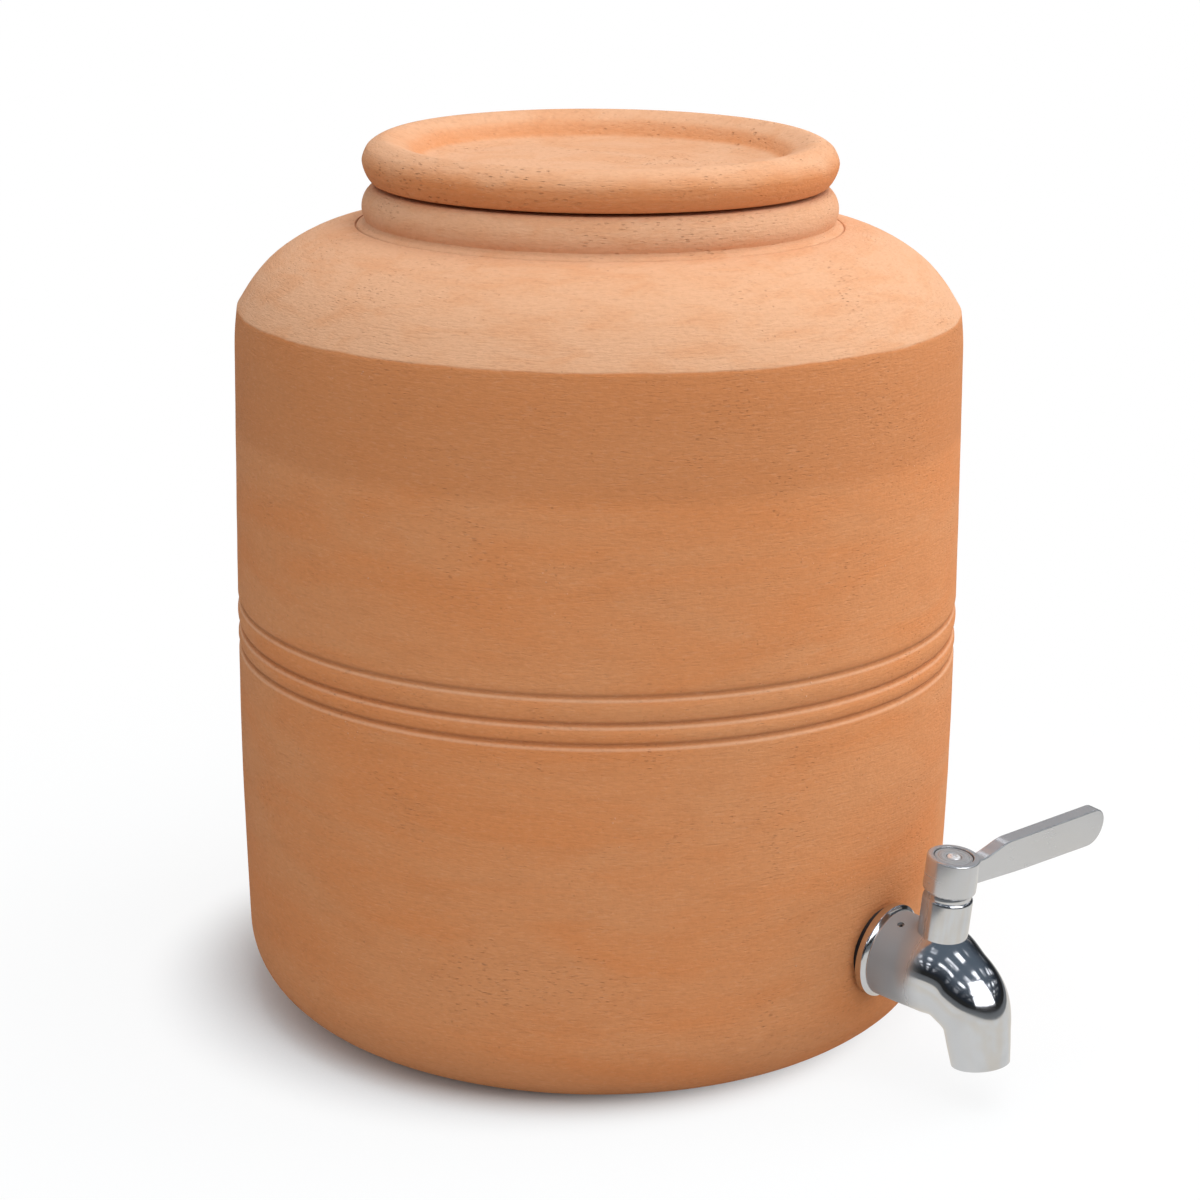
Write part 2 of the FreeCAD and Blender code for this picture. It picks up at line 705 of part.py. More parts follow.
def grub_screw():
    screw = rod("grub_screw_shank", "grubRadius", "grubTop - grubLength", "grubTop", grub_place())
    socket = doc.addObject("Part::Prism", "grub_socket")
    socket.Polygon = 6
    bind(socket, "Circumradius", "grubSocket")
    bind(socket, "Height", "grubLength")
    lift = FreeCAD.Placement(FreeCAD.Vector(0, 0, size("grubTop - grubLength / 2")), FreeCAD.Rotation())
    socket.Placement = grub_place().multiply(lift)
    node(cut("grub_screw", screw, [socket]), "grub_screw", tapPlace)


def stop_pin():
    pin = rod("stop_pin", "stopPinRadius", "stopPinBase", "stopPinTop",
              stemPlace.multiply(FreeCAD.Placement(
                  FreeCAD.Vector(-size("stopRadius"), 0, 0), FreeCAD.Rotation())))
    node(pin, "stop_pin")


# ---------------------------------------------------------------- valve

def valve():
    ball = doc.addObject("Part::Sphere", "ball_blank")
    bind(ball, "Radius", "ballRadius")
    port = rod("ball_port", "ballPort", "-ballRadius", "ballRadius",
               FreeCAD.Placement(FreeCAD.Vector(0, 0, 0), FreeCAD.Rotation(FreeCAD.Vector(1, 0, 0), 90)))
    slot = block("ball_slot", "ballRadius * 2", "slotWidth", "slotBottom", "ballRadius + 1")
    node(cut("valve_ball", ball, [port, slot]), "valve_ball", leverPlace)

    for label, way in (("inlet_seat", -1), ("outlet_seat", 1)):
        far = "%d * seatReach" % way
        near = "%d * seatFace" % way
        low, high = (far, near) if way < 0 else (near, far)
        blank = ring(label + "_blank", "seatPort", "seatRingRadius", low, high, "H_Axis")
        room = doc.addObject("Part::Sphere", label + "_room")
        bind(room, "Radius", "ballRadius + ballGap")
        node(cut(label, blank, [room]), label, stemPlace)

    stem = turned("stem_turned", [
        ("0", "collarBase"),
        ("collarRadius", "collarBase"),
        ("collarRadius", "collarTop"),
        ("stemRadius", "collarTop"),
        ("stemRadius", "squareBase"),
        ("0", "squareBase"),
    ])
    tang = block("stem_tang", "tangLength", "slotWidth - 2 * tangGap", "slotBottom + tangGap * 2",
                 "collarBase + 0.5")
    square = block("stem_square", "squareWidth", "squareWidth", "squareBase - 0.5", "stemTop")
    whole = doc.addObject("Part::MultiFuse", "stem_blank")
    whole.Shapes = [stem, tang, square]
    tapped = rod("stem_tapped_hole", "screwTapRadius", "screwEnd - 1", "stemTop + 1")
    node(cut("valve_stem", whole, [tapped]), "valve_stem", leverPlace)

    bore = "stemRadius + stemGap"
    node(ring("thrust_washer", bore, "collarRadius", "collarTop + washerGap",
              "collarTop + washerGap + thrustThickness"), "thrust_washer", stemPlace)
    ringTop = "packingBase + ringThickness"
    node(turned("stem_o_ring", [
        (bore, "packingBase + 0.4"),
        (bore + " + 0.4", "packingBase", "0.1"),
        ("packingRadius - 0.4", "packingBase"),
        ("packingRadius", "packingBase + 0.4", "0.1"),
        ("packingRadius", ringTop + " - 0.4"),
        ("packingRadius - 0.4", ringTop, "0.1"),
        (bore + " + 0.4", ringTop),
        (bore, ringTop + " - 0.4", "0.1"),
    ]), "stem_o_ring", stemPlace)
    packingTop = "packingBase + ringThickness + packingHeight"
    node(ring("stem_packing", bore, "packingRadius", ringTop, packingTop), "stem_packing", stemPlace)

    gland = turned("gland_blank", [
        (bore, packingTop),
        ("packingRadius", packingTop),
        ("packingRadius", "bossTop - 0.5"),
        ("glandHeadRadius", "bossTop"),
        ("glandHeadRadius", "glandTop - 0.3"),
        ("glandHeadRadius - 0.3", "glandTop"),
        (bore, "glandTop"),
    ])
    gland_slot = block("gland_slot", "glandHeadRadius * 3", "glandSlotWidth", "glandTop - glandSlotDepth",
                       "glandTop + 1")
    node(cut("gland_nut", gland, [gland_slot]), "gland_nut", stemPlace)


# ---------------------------------------------------------------- handle

def lever_handle():
    body = new_body("handle_form")
    side = new_sketch(body, "blade_outline", "YZ_Plane")
    tip = "bladeReach"
    outline(side, [
        ("hubRadius / 2", "bladeRootBottom"),
        ("bladeKink", "bladeKinkBottom"),
        (tip + " - bladeTipRound", "bladeTipBottom"),
        (tip, "bladeTipBottom + bladeTipRound", "bladeTipRound * " + quarterBulge),
        (tip, "bladeTop - bladeTipRound"),
        (tip + " - bladeTipRound", "bladeTop", "bladeTipRound * " + quarterBulge),
        ("bladeStepEnd", "bladeTop"),
        ("bladeNeckEnd", "bladeNeckTop"),
        ("hubRadius / 2", "bladeNeckTop"),
    ])
    blade = body.newObject("PartDesign::Pad", "blade")
    blade.Profile = side
    blade.SideType = "Symmetric"
    bind(blade, "Length", "bladeThickness")
    doc.recompute()

    half = size("bladeThickness") / 2
    edges = []
    for index, edge in enumerate(blade.Shape.Edges, start=1):
        box = edge.BoundBox
        flat = box.XMax - box.XMin < 0.01 and abs(abs(box.XMin) - half) < 0.01
        if flat and box.YMax > size("hubRadius"):
            edges.append("Edge%d" % index)
    rounding = body.newObject("PartDesign::Fillet", "blade_edges")
    rounding.Base = (blade, edges)
    bind(rounding, "Radius", "bladeEdge")

    spin(body, "hub", [[
        ("0", "handleBase"),
        ("neckRadius", "handleBase"),
        ("neckRadius", "hubBase"),
        ("hubRadius - hubChamfer", "hubBase"),
        ("hubRadius", "hubBase + hubChamfer"),
        ("hubRadius", "hubTop - hubChamfer"),
        ("hubRadius - hubChamfer", "hubTop", "hubChamfer * " + quarterBulge),
        ("0", "hubTop"),
    ]])
    spin(body, "hub_hollows", [
        [
            ("0", "handleBase - 1"),
            ("hubCavityRadius", "handleBase - 1"),
            ("hubCavityRadius", "hubCavityTop"),
            ("stemRadius + 0.2", "hubCavityTop"),
            ("stemRadius + 0.2", "squareBase"),
            ("0", "squareBase"),
        ],
        [
            ("0", "hubFloor"),
            ("screwTapRadius + 0.2", "hubFloor"),
            ("screwTapRadius + 0.2", "capSeat"),
            ("capRadius + capGap", "capSeat"),
            ("capRadius + capGap", "hubTop + 1"),
            ("0", "hubTop + 1"),
        ],
    ], cut=True)

    socket = block("square_socket", "squareWidth + 2 * squareGap", "squareWidth + 2 * squareGap",
                   "squareBase - 0.2", "hubFloor + 0.1")
    # the stop pin runs in a sector of the hub's underside
    track = rod("stop_track", "stopTrackRadius", "handleBase - 1", "hubCavityTop")
    pin_angle = math.degrees(math.asin(size("stopPinRadius") / size("stopRadius")))
    spare = pin_angle + size("stopSlack")
    track.Angle = size("quarterTurn") + 2 * spare
    track.Placement.Rotation = FreeCAD.Rotation(FreeCAD.Vector(0, 0, 1), 180 - spare)
    node(cut("lever_handle", body, [socket, track]), "lever_handle", leverPlace)


def handle_cap_and_screw():
    head_base = "(hubTop + screwHeadProud - screwHeadHeight)"
    node(turned("handle_cap", [
        ("screwTapRadius + 0.2", "capSeat"),
        ("capRadius", "capSeat"),
        ("capRadius", "capSeat + capThickness - capChamfer"),
        ("capRadius - capChamfer", "capSeat + capThickness"),
        ("screwHeadRadius + 0.3", "capSeat + capThickness"),
        ("screwHeadRadius + 0.3", head_base),
        ("screwTapRadius + 0.2", head_base),
    ]), "handle_cap", leverPlace)
    blank = turned("screw_blank", [
        ("0", "screwEnd"),
        ("screwRadius - 0.4", "screwEnd"),
        ("screwRadius", "screwEnd + 0.4"),
        ("screwRadius", head_base),
        ("screwHeadRadius", head_base),
        ("screwHeadRadius", head_base + " + screwHeadHeight / 2"),
        ("screwHeadRadius - 0.7", head_base + " + screwHeadHeight", "0.15"),
        ("0", head_base + " + screwHeadHeight"),
    ])
    bottom = head_base + " + screwHeadHeight - screwSlotDepth"
    top = head_base + " + screwHeadHeight + 1"
    one = block("screw_slot_one", "screwSlotLength", "screwSlotWidth", bottom, top)
    two = block("screw_slot_two", "screwSlotWidth", "screwSlotLength", bottom, top)
    node(cut("handle_screw", blank, [one, two]), "handle_screw", leverPlace)


# ---------------------------------------------------------------- whole pot

pot_body()
lid()
fixing()
lock_nut()
tap_body()
grub_screw()
stop_pin()
valve()
lever_handle()
handle_cap_and_screw()
doc.recompute()

for item in doc.Objects:
    if "Invalid" in item.State or "Error" in item.State:
        raise RuntimeError("%s failed: %s" % (item.Name, item.State))
for label, item in nodes.items():
    if item.Shape.isNull() or not item.Shape.isValid() or not item.Shape.Solids:
        raise RuntimeError("%s has no valid solid" % label)

for label, item in nodes.items():
    item.Shape.exportStep(os.path.join("parts", label + ".step"))
    print("%-14s solids %d  volume %.2f cm3" % (label, len(item.Shape.Solids), item.Shape.Volume / 1000))
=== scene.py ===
import bpy
import bmesh
import math
from mathutils import Matrix, Vector, noise


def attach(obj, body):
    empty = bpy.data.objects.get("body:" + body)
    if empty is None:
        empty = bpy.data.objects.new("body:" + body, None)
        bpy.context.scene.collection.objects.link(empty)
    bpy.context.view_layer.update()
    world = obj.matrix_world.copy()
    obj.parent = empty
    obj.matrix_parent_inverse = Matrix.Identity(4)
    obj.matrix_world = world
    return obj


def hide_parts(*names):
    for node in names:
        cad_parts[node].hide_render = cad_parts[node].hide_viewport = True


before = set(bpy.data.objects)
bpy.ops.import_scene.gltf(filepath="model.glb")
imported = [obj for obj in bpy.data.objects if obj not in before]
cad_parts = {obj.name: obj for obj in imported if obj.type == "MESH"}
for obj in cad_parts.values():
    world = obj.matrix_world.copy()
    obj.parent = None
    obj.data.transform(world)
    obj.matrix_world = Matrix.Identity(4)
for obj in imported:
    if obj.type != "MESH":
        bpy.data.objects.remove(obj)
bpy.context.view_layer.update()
mm = 0.001
print("frame loaded,", len(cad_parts), "nodes")


# shader maths as expressions

class Wire:
    def __init__(self, tree, socket):
        self.tree, self.socket = tree, socket

    def maths(self, operation, *others, flipped=False):
        step = self.tree.nodes.new("ShaderNodeMath")
        step.operation = operation
        values = (*others, self) if flipped else (self, *others)
        for slot, value in zip(step.inputs, values):
            feed(self.tree, slot, value)
        return Wire(self.tree, step.outputs[0])

    def __add__(self, other):
        return self.maths("ADD", other)

    def __radd__(self, other):
        return self.maths("ADD", other)

    def __sub__(self, other):
        return self.maths("SUBTRACT", other)

    def __rsub__(self, other):
        return self.maths("SUBTRACT", other, flipped=True)

    def __mul__(self, other):
        return self.maths("MULTIPLY", other)

    def __rmul__(self, other):
        return self.maths("MULTIPLY", other)

    def __truediv__(self, other):
        return self.maths("DIVIDE", other)

    def __rtruediv__(self, other):
        return self.maths("DIVIDE", other, flipped=True)

    def size(self):
        return self.maths("ABSOLUTE")

    def clipped(self):
        return self.maths("MAXIMUM", 0.0).maths("MINIMUM", 1.0)


def feed(tree, slot, value):
    if isinstance(value, Wire):
        tree.links.new(value.socket, slot)
    else:
        slot.default_value = value


def farOut(first, second):
    # distance from the axis where both are 0
    return (first * first + second * second).maths("SQRT")


class Finish:
    # the procedural nodes of one material, or of the world
    def __init__(self, owner, outKind="ShaderNodeOutputMaterial"):
        owner.use_nodes = True
        self.owner, self.tree = owner, owner.node_tree
        self.tree.nodes.clear()
        self.out = self.node(outKind)
        self.place = self.wire(self.node("ShaderNodeTexCoord"), "Object")

    def node(self, kind, settings=None, values=None):
        step = self.tree.nodes.new(kind)
        for key, value in (settings or {}).items():
            setattr(step, key, value)
        for key, value in (values or {}).items():
            feed(self.tree, step.inputs[key], value)
        return step

    def wire(self, step, socket=0):
        return Wire(self.tree, step.outputs[socket])

    def cloud(self, where, scale, detail=3.0, roughness=0.55, distortion=0.0):
        return self.wire(self.node("ShaderNodeTexNoise", {"noise_dimensions": "3D"}, {
            "Vector": where, "Scale": scale, "Detail": detail, "Roughness": roughness,
            "Distortion": distortion}))

    def cells(self, where, scale):
        return self.wire(self.node("ShaderNodeTexVoronoi", {"feature": "F1"}, {
            "Vector": where, "Scale": scale, "Randomness": 1.0}))

    def moved(self, where, scale=(1, 1, 1), offset=(0, 0, 0)):
        return self.wire(self.node("ShaderNodeMapping", {"vector_type": "POINT"}, {
            "Vector": where, "Location": offset, "Scale": scale}))

    def parts(self, where):
        step = self.node("ShaderNodeSeparateXYZ", None, {"Vector": where})
        return [self.wire(step, index) for index in range(3)]

    def joined(self, x, y, z):
        return self.wire(self.node("ShaderNodeCombineXYZ", None, {"X": x, "Y": y, "Z": z}))

    def between(self, value, low, high, start=0.0, end=1.0):
        return self.wire(self.node("ShaderNodeMapRange", {"interpolation_type": "SMOOTHSTEP"}, {
            "Value": value, "From Min": low, "From Max": high, "To Min": start, "To Max": end}))

    def blend(self, mask, first, second):
        # sockets 0, 6 and 7 are the factor and the two colours, and output 2 is the colour
        step = self.node("ShaderNodeMix", {"data_type": "RGBA"}, {0: mask, 6: first, 7: second})
        return self.wire(step, 2)

    def bump(self, height, depth, strength=1.0):
        return self.wire(self.node("ShaderNodeBump", None, {
            "Height": height, "Distance": depth, "Strength": strength}))

    def show(self, step):
        self.tree.links.new(step.outputs[0], self.out.inputs["Surface"])
        return self.owner

    def surface(self, values):
        return self.show(self.node("ShaderNodeBsdfPrincipled", None, values))

    def glow(self, colour):
        return self.node("ShaderNodeEmission", None, {"Color": colour, "Strength": 1.0})


# clay: a turned, unglazed red body that dries paler where it was sponged, with a painted sheen of the top
# light on the same upper faces

clayLook = {
    "wall": (0.690, 0.292, 0.120, 1),
    # the pale tone of the upper faces: sponged clay, and partly a painted sheen of the top light
    "spongedAndSheen": (0.750, 0.418, 0.244, 1),
    "deep": (0.590, 0.226, 0.082, 1),
    "ember": (0.700, 0.262, 0.092, 1),
    # the next two tones tint real specks and dashes, and also give the painted highlight on groove lips and
    # the painted shade in grooves, scores and pits
    "chalkAndHighlight": (0.860, 0.560, 0.380, 1),
    "sootAndShade": (0.300, 0.110, 0.045, 1),
    "roughness": 0.88,
    "grain": 0.00040,
    "slope": 0.35,        # how far the turning marks climb over the shoulder
    # (scale round the pot, scale up it, detail, roughness, distortion)
    "drift": (11.0, 42.0, 3.0, 0.55, 0.6),
    "patches": (38.0, 110.0, 3.0, 0.6, 0.5),
    "rings": (7.0, 210.0, 3.0, 0.6, 0.3),
    "dashes": (330.0, 1500.0, 2.0, 0.55, 0.5),
    "scratches": (95.0, 1150.0, 2.0, 0.55, 0.2),
    "edge": (60.0, 60.0, 2.0, 0.5, 0.0),
    "drags": (270.0, 980.0),
}
# heights and radii in metres: the clay is pale above the given height, over a fade, and inside the dish's
# radius, partly sponged skin and partly a painted sheen of the top light; deepBands are (low, high, share),
# and painted shade lies in (place, half width) at the heights of the grooves and, on top of the shoulder, at
# the radii of the scores
potClayPlan = {
    "spongedAndSheen": 0.2741, "fade": 0.001, "ragged": 0.0016, "dish": 0.0, "dishShare": 0.0,
    "deepBands": [(0.232, 0.2738, 0.66)],
    "grooves": [(0.1447, 0.0015), (0.1522, 0.0014), (0.1622, 0.0014)],
    "scores": [(0.0921, 0.0006)],
    "burrs": 1.0, "shift": 0.0,
}
lidClayPlan = {
    "spongedAndSheen": 0.3262, "fade": 0.0095, "ragged": 0.006, "dish": 0.0665, "dishShare": 0.55,
    "deepBands": [(0.3170, 0.3255, 0.5)],
    "grooves": [],
    "scores": [],
    "burrs": 2.2, "shift": 0.37,
}


def clayFinish(name, plan):
    look = clayLook
    make = Finish(bpy.data.materials.new(name))
    where = make.moved(make.place, offset=(0, 0, plan["shift"]))
    x, y, z = make.parts(make.place)
    u, v, w = make.parts(where)
    around = farOut(x, y)
    level = w - around * look["slope"]

    def ringed(across, up):
        # stretched round the pot, so that the marks run round at one height
        return make.joined(u * across, v * across, level * up)

    def marks(kind):
        across, up, detail, roughness, distortion = look[kind]
        return make.cloud(ringed(across, up), 1.0, detail, roughness, distortion)

    # blends in a tint: real tone and specks, and also painted shade and painted highlight
    def tintedMarkAndPaintedLight(colour, mask, tint):
        return make.blend(mask, colour, look[tint])

    drift, patches, rings = marks("drift"), marks("patches"), marks("rings")
    dashes, scratches = marks("dashes"), marks("scratches")
    grain = make.cloud(where, 1500.0, 2.0, 0.7)
    sand = make.cloud(make.moved(where, offset=(0.7, 0.2, 0.9)), 560.0, 2.0, 0.5)

    colour = make.blend(make.between(drift, 0.34, 0.68), look["wall"], look["ember"])
    colour = tintedMarkAndPaintedLight(colour, make.between(patches, 0.5, 0.75, 0.0, 0.32), "deep")
    colour = tintedMarkAndPaintedLight(colour, make.between(rings, 0.54, 0.8, 0.0, 0.22), "deep")
    for low, high, share in plan["deepBands"]:
        band = make.between(z, low - 0.006, low + 0.002)
        band = band * make.between(z, high - 0.001, high + 0.0005, 1.0, 0.0)
        colour = tintedMarkAndPaintedLight(colour, band * share, "deep")

    # the sponged skin with a painted sheen of the top light, paler on the upper faces and the lid dish's
    # floor, and the bare wall of the lid's dish
    edge = (marks("edge") - 0.5) * plan["ragged"]
    skinAndSheen = make.between(z + edge, plan["spongedAndSheen"], plan["spongedAndSheen"] + plan["fade"])
    dish = plan["dish"]
    inDish = make.between(around, dish - 0.002, dish + 0.003, 1.0, 0.0) * make.between(z, 0.325, 0.327)
    skinAndSheen = skinAndSheen.maths("MAXIMUM", inDish)
    pale = make.blend(make.between(patches, 0.4, 0.7, 0.0, 0.35), look["spongedAndSheen"], look["wall"])
    colour = make.blend(skinAndSheen, colour, pale)
    dishWall = make.between(around, dish, dish + 0.002)
    dishWall = dishWall * make.between(around, dish + 0.003, dish + 0.008, 1.0, 0.0)
    dishWall = dishWall * make.between(z, 0.3265, 0.3285)
    colour = tintedMarkAndPaintedLight(colour, dishWall * plan["dishShare"], "wall")

    # painted shade in the grooves, with a painted highlight on the lip below each
    for at, half in plan["grooves"]:
        away = (z - at).size() / half
        colour = tintedMarkAndPaintedLight(colour, make.between(away, 0.15, 1.0, 0.46, 0.0), "sootAndShade")
        lit = (z - at + half * 1.15).size() / half
        colour = tintedMarkAndPaintedLight(colour, make.between(lit, 0.0, 0.6, 0.4, 0.0), "chalkAndHighlight")
    # painted shade along the scores on top of the shoulder, broken in places
    for at, half in plan["scores"]:
        away = (around - at).size() / half
        broken = make.between(make.cloud(where, 26.0, 2.0), 0.36, 0.56, 0.25, 1.0)
        scored = make.between(away, 0.3, 1.0, 0.6, 0.0) * make.between(z, 0.298, 0.300) * broken
        colour = tintedMarkAndPaintedLight(colour, scored, "sootAndShade")

    # dark grog, pale lime specks and the small pits that a turning rib drags out of sandy clay
    specks = make.cells(where, 330.0)
    room = make.between(make.cloud(where, 60.0, 2.0), 0.46, 0.7, 0.03, 0.2)
    dark = (room - specks).maths("MULTIPLY", 8.0).clipped()
    limes = make.cells(make.moved(where, offset=(0.31, 0.17, 0.53)), 380.0)
    limeRoom = make.cloud(make.moved(where, offset=(2.0, 1.0, 5.0)), 55.0, 2.0)
    limeRoom = make.between(limeRoom, 0.5, 0.78, 0.0, 0.19)
    lime = (limeRoom - limes).maths("MULTIPLY", 8.0).clipped()
    drags = make.cells(ringed(*look["drags"]), 1.0)
    dragRoom = make.cloud(make.moved(where, offset=(1.0, 4.0, 2.0)), 30.0, 3.0)
    pits = make.between(drags, 0.05, 0.3, 1.0, 0.0) * make.between(dragRoom, 0.4, 0.72, 0.0, 1.0)
    colour = tintedMarkAndPaintedLight(colour, make.between(dashes, 0.52, 0.72, 0.0, 0.12), "sootAndShade")
    colour = tintedMarkAndPaintedLight(colour, make.between(dashes, 0.3, 0.46, 0.09, 0.0), "chalkAndHighlight")
    colour = tintedMarkAndPaintedLight(colour, dark * 0.3, "sootAndShade")
    colour = tintedMarkAndPaintedLight(colour, lime * 0.4, "chalkAndHighlight")
    # painted shade in the pits
    colour = tintedMarkAndPaintedLight(colour, pits * 0.12, "sootAndShade")
    colour = tintedMarkAndPaintedLight(colour, make.between(sand, 0.35, 0.7, 0.0, 0.06), "sootAndShade")

    height = (rings * 0.45 + scratches * 0.4 + dashes * 0.75 + grain * 0.14 + sand * 0.35
              - pits * (0.9 * plan["burrs"]) + lime * 0.55 - dark * 0.3)
    rough = (grain * 0.1 + look["roughness"] - 0.05 + rings * 0.06).clipped()
    return make.surface({
        "Base Color": colour, "Roughness": rough, "Normal": make.bump(height, look["grain"]),
        "Specular IOR Level": 0.2,
    })


potClay = clayFinish("potClay", potClayPlan)
lidClay = clayFinish("lidClay", lidClayPlan)
print("clay mixed")


# the tap's own frame: X along the flow, Z up the stem, Y to the pot's +X side

tapPlan = {"out": 137.6, "up": 49.2, "pitch": 6.0, "stemAxis": 27.0, "restTurn": 7.0}
pitch = math.radians(tapPlan["pitch"])
flowWay = Vector((0, -math.cos(pitch), -math.sin(pitch)))
stemWay = Vector((0, -math.sin(pitch), math.cos(pitch)))
tapPlace = Matrix.Translation(Vector((0, -tapPlan["out"] * mm, tapPlan["up"] * mm))) @ Matrix((
    (flowWay.x, 1, stemWay.x, 0), (flowWay.y, 0, stemWay.y, 0), (flowWay.z, 0, stemWay.z, 0), (0, 0, 0, 1)))
toStem = Matrix.Translation(Vector((tapPlan["stemAxis"] * mm, 0, 0)))
stemPlace = tapPlace @ toStem
leverPlace = stemPlace @ Matrix.Rotation(math.radians(-tapPlan["restTurn"]), 4, "Z")
layAlongFlow = Matrix.Rotation(math.radians(90), 4, "Y")
flowPlace = tapPlace @ layAlongFlow


# metals and seals

chromeLook = {
    "bright": (0.66, 0.665, 0.675, 1), "worn": (0.60, 0.605, 0.615, 1), "cast": (0.27, 0.285, 0.30, 1),
    "flare": (0.0069, 0.0073, 0.0165, 0.0305),     # where the bare casting starts and fades, in metres
    "bareShare": 0.75,
}
spunLook = {
    "low": (0.33, 0.345, 0.36, 1), "high": (0.41, 0.425, 0.44, 1), "metal": 0.3,
    "lines": (5200.0, 120.0),     # scale out from the stem, and along the lines
}


def chromeFinish():
    # mirror-bright, but left as cast on the flare next to the wall flange
    look = chromeLook
    make = Finish(bpy.data.materials.new("chrome"))
    x, y, z = make.parts(make.place)
    along = (y + tapPlan["out"] * mm) * flowWay.y + (z - tapPlan["up"] * mm) * flowWay.z
    edge, full, fading, gone = look["flare"]
    flare = make.between(along, edge, full) * make.between(along, fading, gone, 1.0, 0.0)
    smudge = make.cloud(make.place, 70.0, 4.0, 0.6, 0.6)
    swirl = make.cloud(make.moved(make.place, offset=(0.2, 0.5, 0.1)), 900.0, 2.0, 0.6)
    cast = make.cloud(make.place, 48.0, 1.0, 0.4)
    pitted = make.cloud(make.place, 620.0, 2.0, 0.6)
    colour = make.blend(make.between(smudge, 0.45, 0.75, 0.0, 0.5), look["bright"], look["worn"])
    colour = make.blend(flare * 0.9, colour, look["cast"])
    rough = make.between(smudge, 0.4, 0.8, 0.085, 0.14) + swirl * 0.02 + flare * 0.34
    normal = make.bump(cast + pitted * flare * 0.06, 0.00010, 0.35)
    return make.surface({"Base Color": colour, "Metallic": 1.0 - flare * look["bareShare"],
                         "Roughness": rough, "Normal": normal})


def satinFinish(name, brushing, low, high, smoothest, roughest, metal=1.0):
    # hair lines along the axes with a low brushing scale
    make = Finish(bpy.data.materials.new(name))
    hair = make.cloud(make.moved(make.place, brushing), 1.0, 4.0, 0.65)
    smudge = make.cloud(make.place, 60.0, 3.0, 0.6, 0.5)
    colour = make.blend(make.between(hair, 0.3, 0.7), low, high)
    rough = make.between(hair, 0.3, 0.7, smoothest, roughest) + smudge * 0.08
    return make.surface({"Base Color": colour, "Metallic": metal, "Roughness": rough,
                         "Normal": make.bump(hair, 0.00002, 0.06)})


def spunFinish():
    # brushed on a lathe, so the hair lines run round the stem
    look = spunLook
    make = Finish(bpy.data.materials.new("spunSteel"))
    x, y, z = make.parts(make.place)
    foot = stemPlace.translation
    offY, offZ = y - foot.y, z - foot.z
    up = offY * stemWay.y + offZ * stemWay.z
    out = (x * x + offY * offY + offZ * offZ - up * up).maths("MAXIMUM", 0.0).maths("SQRT")
    fine, slow = look["lines"]
    lines = make.cloud(make.joined(out * fine, x * slow, offY * slow), 1.0, 3.0, 0.65)
    colour = make.blend(make.between(lines, 0.3, 0.7), look["low"], look["high"])
    return make.surface({"Base Color": colour, "Metallic": look["metal"],
                         "Roughness": make.between(lines, 0.3, 0.7, 0.24, 0.34),
                         "Normal": make.bump(lines, 0.00005, 0.6)})


def softFinish(name, low, high, roughness, grainScale, depth):
    make = Finish(bpy.data.materials.new(name))
    grain = make.cloud(make.place, grainScale, 3.0, 0.6)
    stain = make.cloud(make.place, 90.0, 3.0, 0.6, 0.4)
    colour = make.blend(make.between(stain, 0.35, 0.7), low, high)
    rough = make.between(grain, 0.3, 0.7, roughness - 0.08, roughness + 0.06)
    return make.surface({"Base Color": colour, "Roughness": rough,
                         "Normal": make.bump(grain, depth, 0.6), "Specular IOR Level": 0.35})


chrome = chromeFinish()
satin = satinFinish("satinSteel", (90.0, 90.0, 700.0), (0.63, 0.632, 0.64, 1), (0.65, 0.652, 0.66, 1),
                    0.17, 0.23, 0.78)
bright = satinFinish("brightSteel", (300.0, 300.0, 300.0), (0.82, 0.82, 0.83, 1), (0.90, 0.90, 0.90, 1),
                     0.12, 0.2, 0.4)
spun = spunFinish()
steel = satinFinish("plainSteel", (400.0, 400.0, 400.0), (0.50, 0.50, 0.50, 1), (0.62, 0.62, 0.61, 1),
                    0.30, 0.42)
brass = satinFinish("turnedBrass", (260.0, 1200.0, 260.0), (0.62, 0.45, 0.20, 1), (0.74, 0.56, 0.28, 1),
                    0.24, 0.36)
rubber = softFinish("blackRubber", (0.012, 0.012, 0.013, 1), (0.03, 0.03, 0.032, 1), 0.62, 1500.0, 0.00008)
ptfe = softFinish("whitePtfe", (0.72, 0.72, 0.70, 1), (0.84, 0.84, 0.82, 1), 0.42, 900.0, 0.00004)
print("metals and seals mixed")


# mesh helpers

def newPiece(name, bm, material, body, node, sharpFrom):
    # turns a bmesh into a finished piece that stands for a node; edges past sharpFrom degrees stay crisp
    bmesh.ops.recalc_face_normals(bm, faces=bm.faces[:])
    for face in bm.faces:
        face.smooth = True
    for edge in bm.edges:
        sharp = len(edge.link_faces) == 2 and edge.calc_face_angle(0.0) > math.radians(sharpFrom)
        edge.smooth = not sharp
    mesh = bpy.data.meshes.new(name)
    bm.to_mesh(mesh)
    bm.free()
    piece = bpy.data.objects.new(name, mesh)
    bpy.context.collection.objects.link(piece)
    mesh.materials.append(material)
    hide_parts(node)
    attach(piece, body)


def roundCorner(bm, point, rounding, segments):
    bmesh.ops.bevel(bm, geom=[point], offset=rounding * mm, offset_type="OFFSET", segments=segments,
                    profile=0.5, affect="VERTICES", clamp_overlap=False, material=-1)


def drawProfile(bm, corners, closed=False):
    # corners are (out, up, rounding, steps) in mm; each corner with a rounding is bevelled to an arc
    points = [bm.verts.new((corner[0] * mm, 0, corner[1] * mm)) for corner in corners]
    for pair in zip(points, points[1:]):
        bm.edges.new(pair)
    if closed:
        bm.edges.new((points[-1], points[0]))
    for point, corner in zip(points, corners):
        if len(corner) > 2:
            roundCorner(bm, point, corner[2], corner[3])


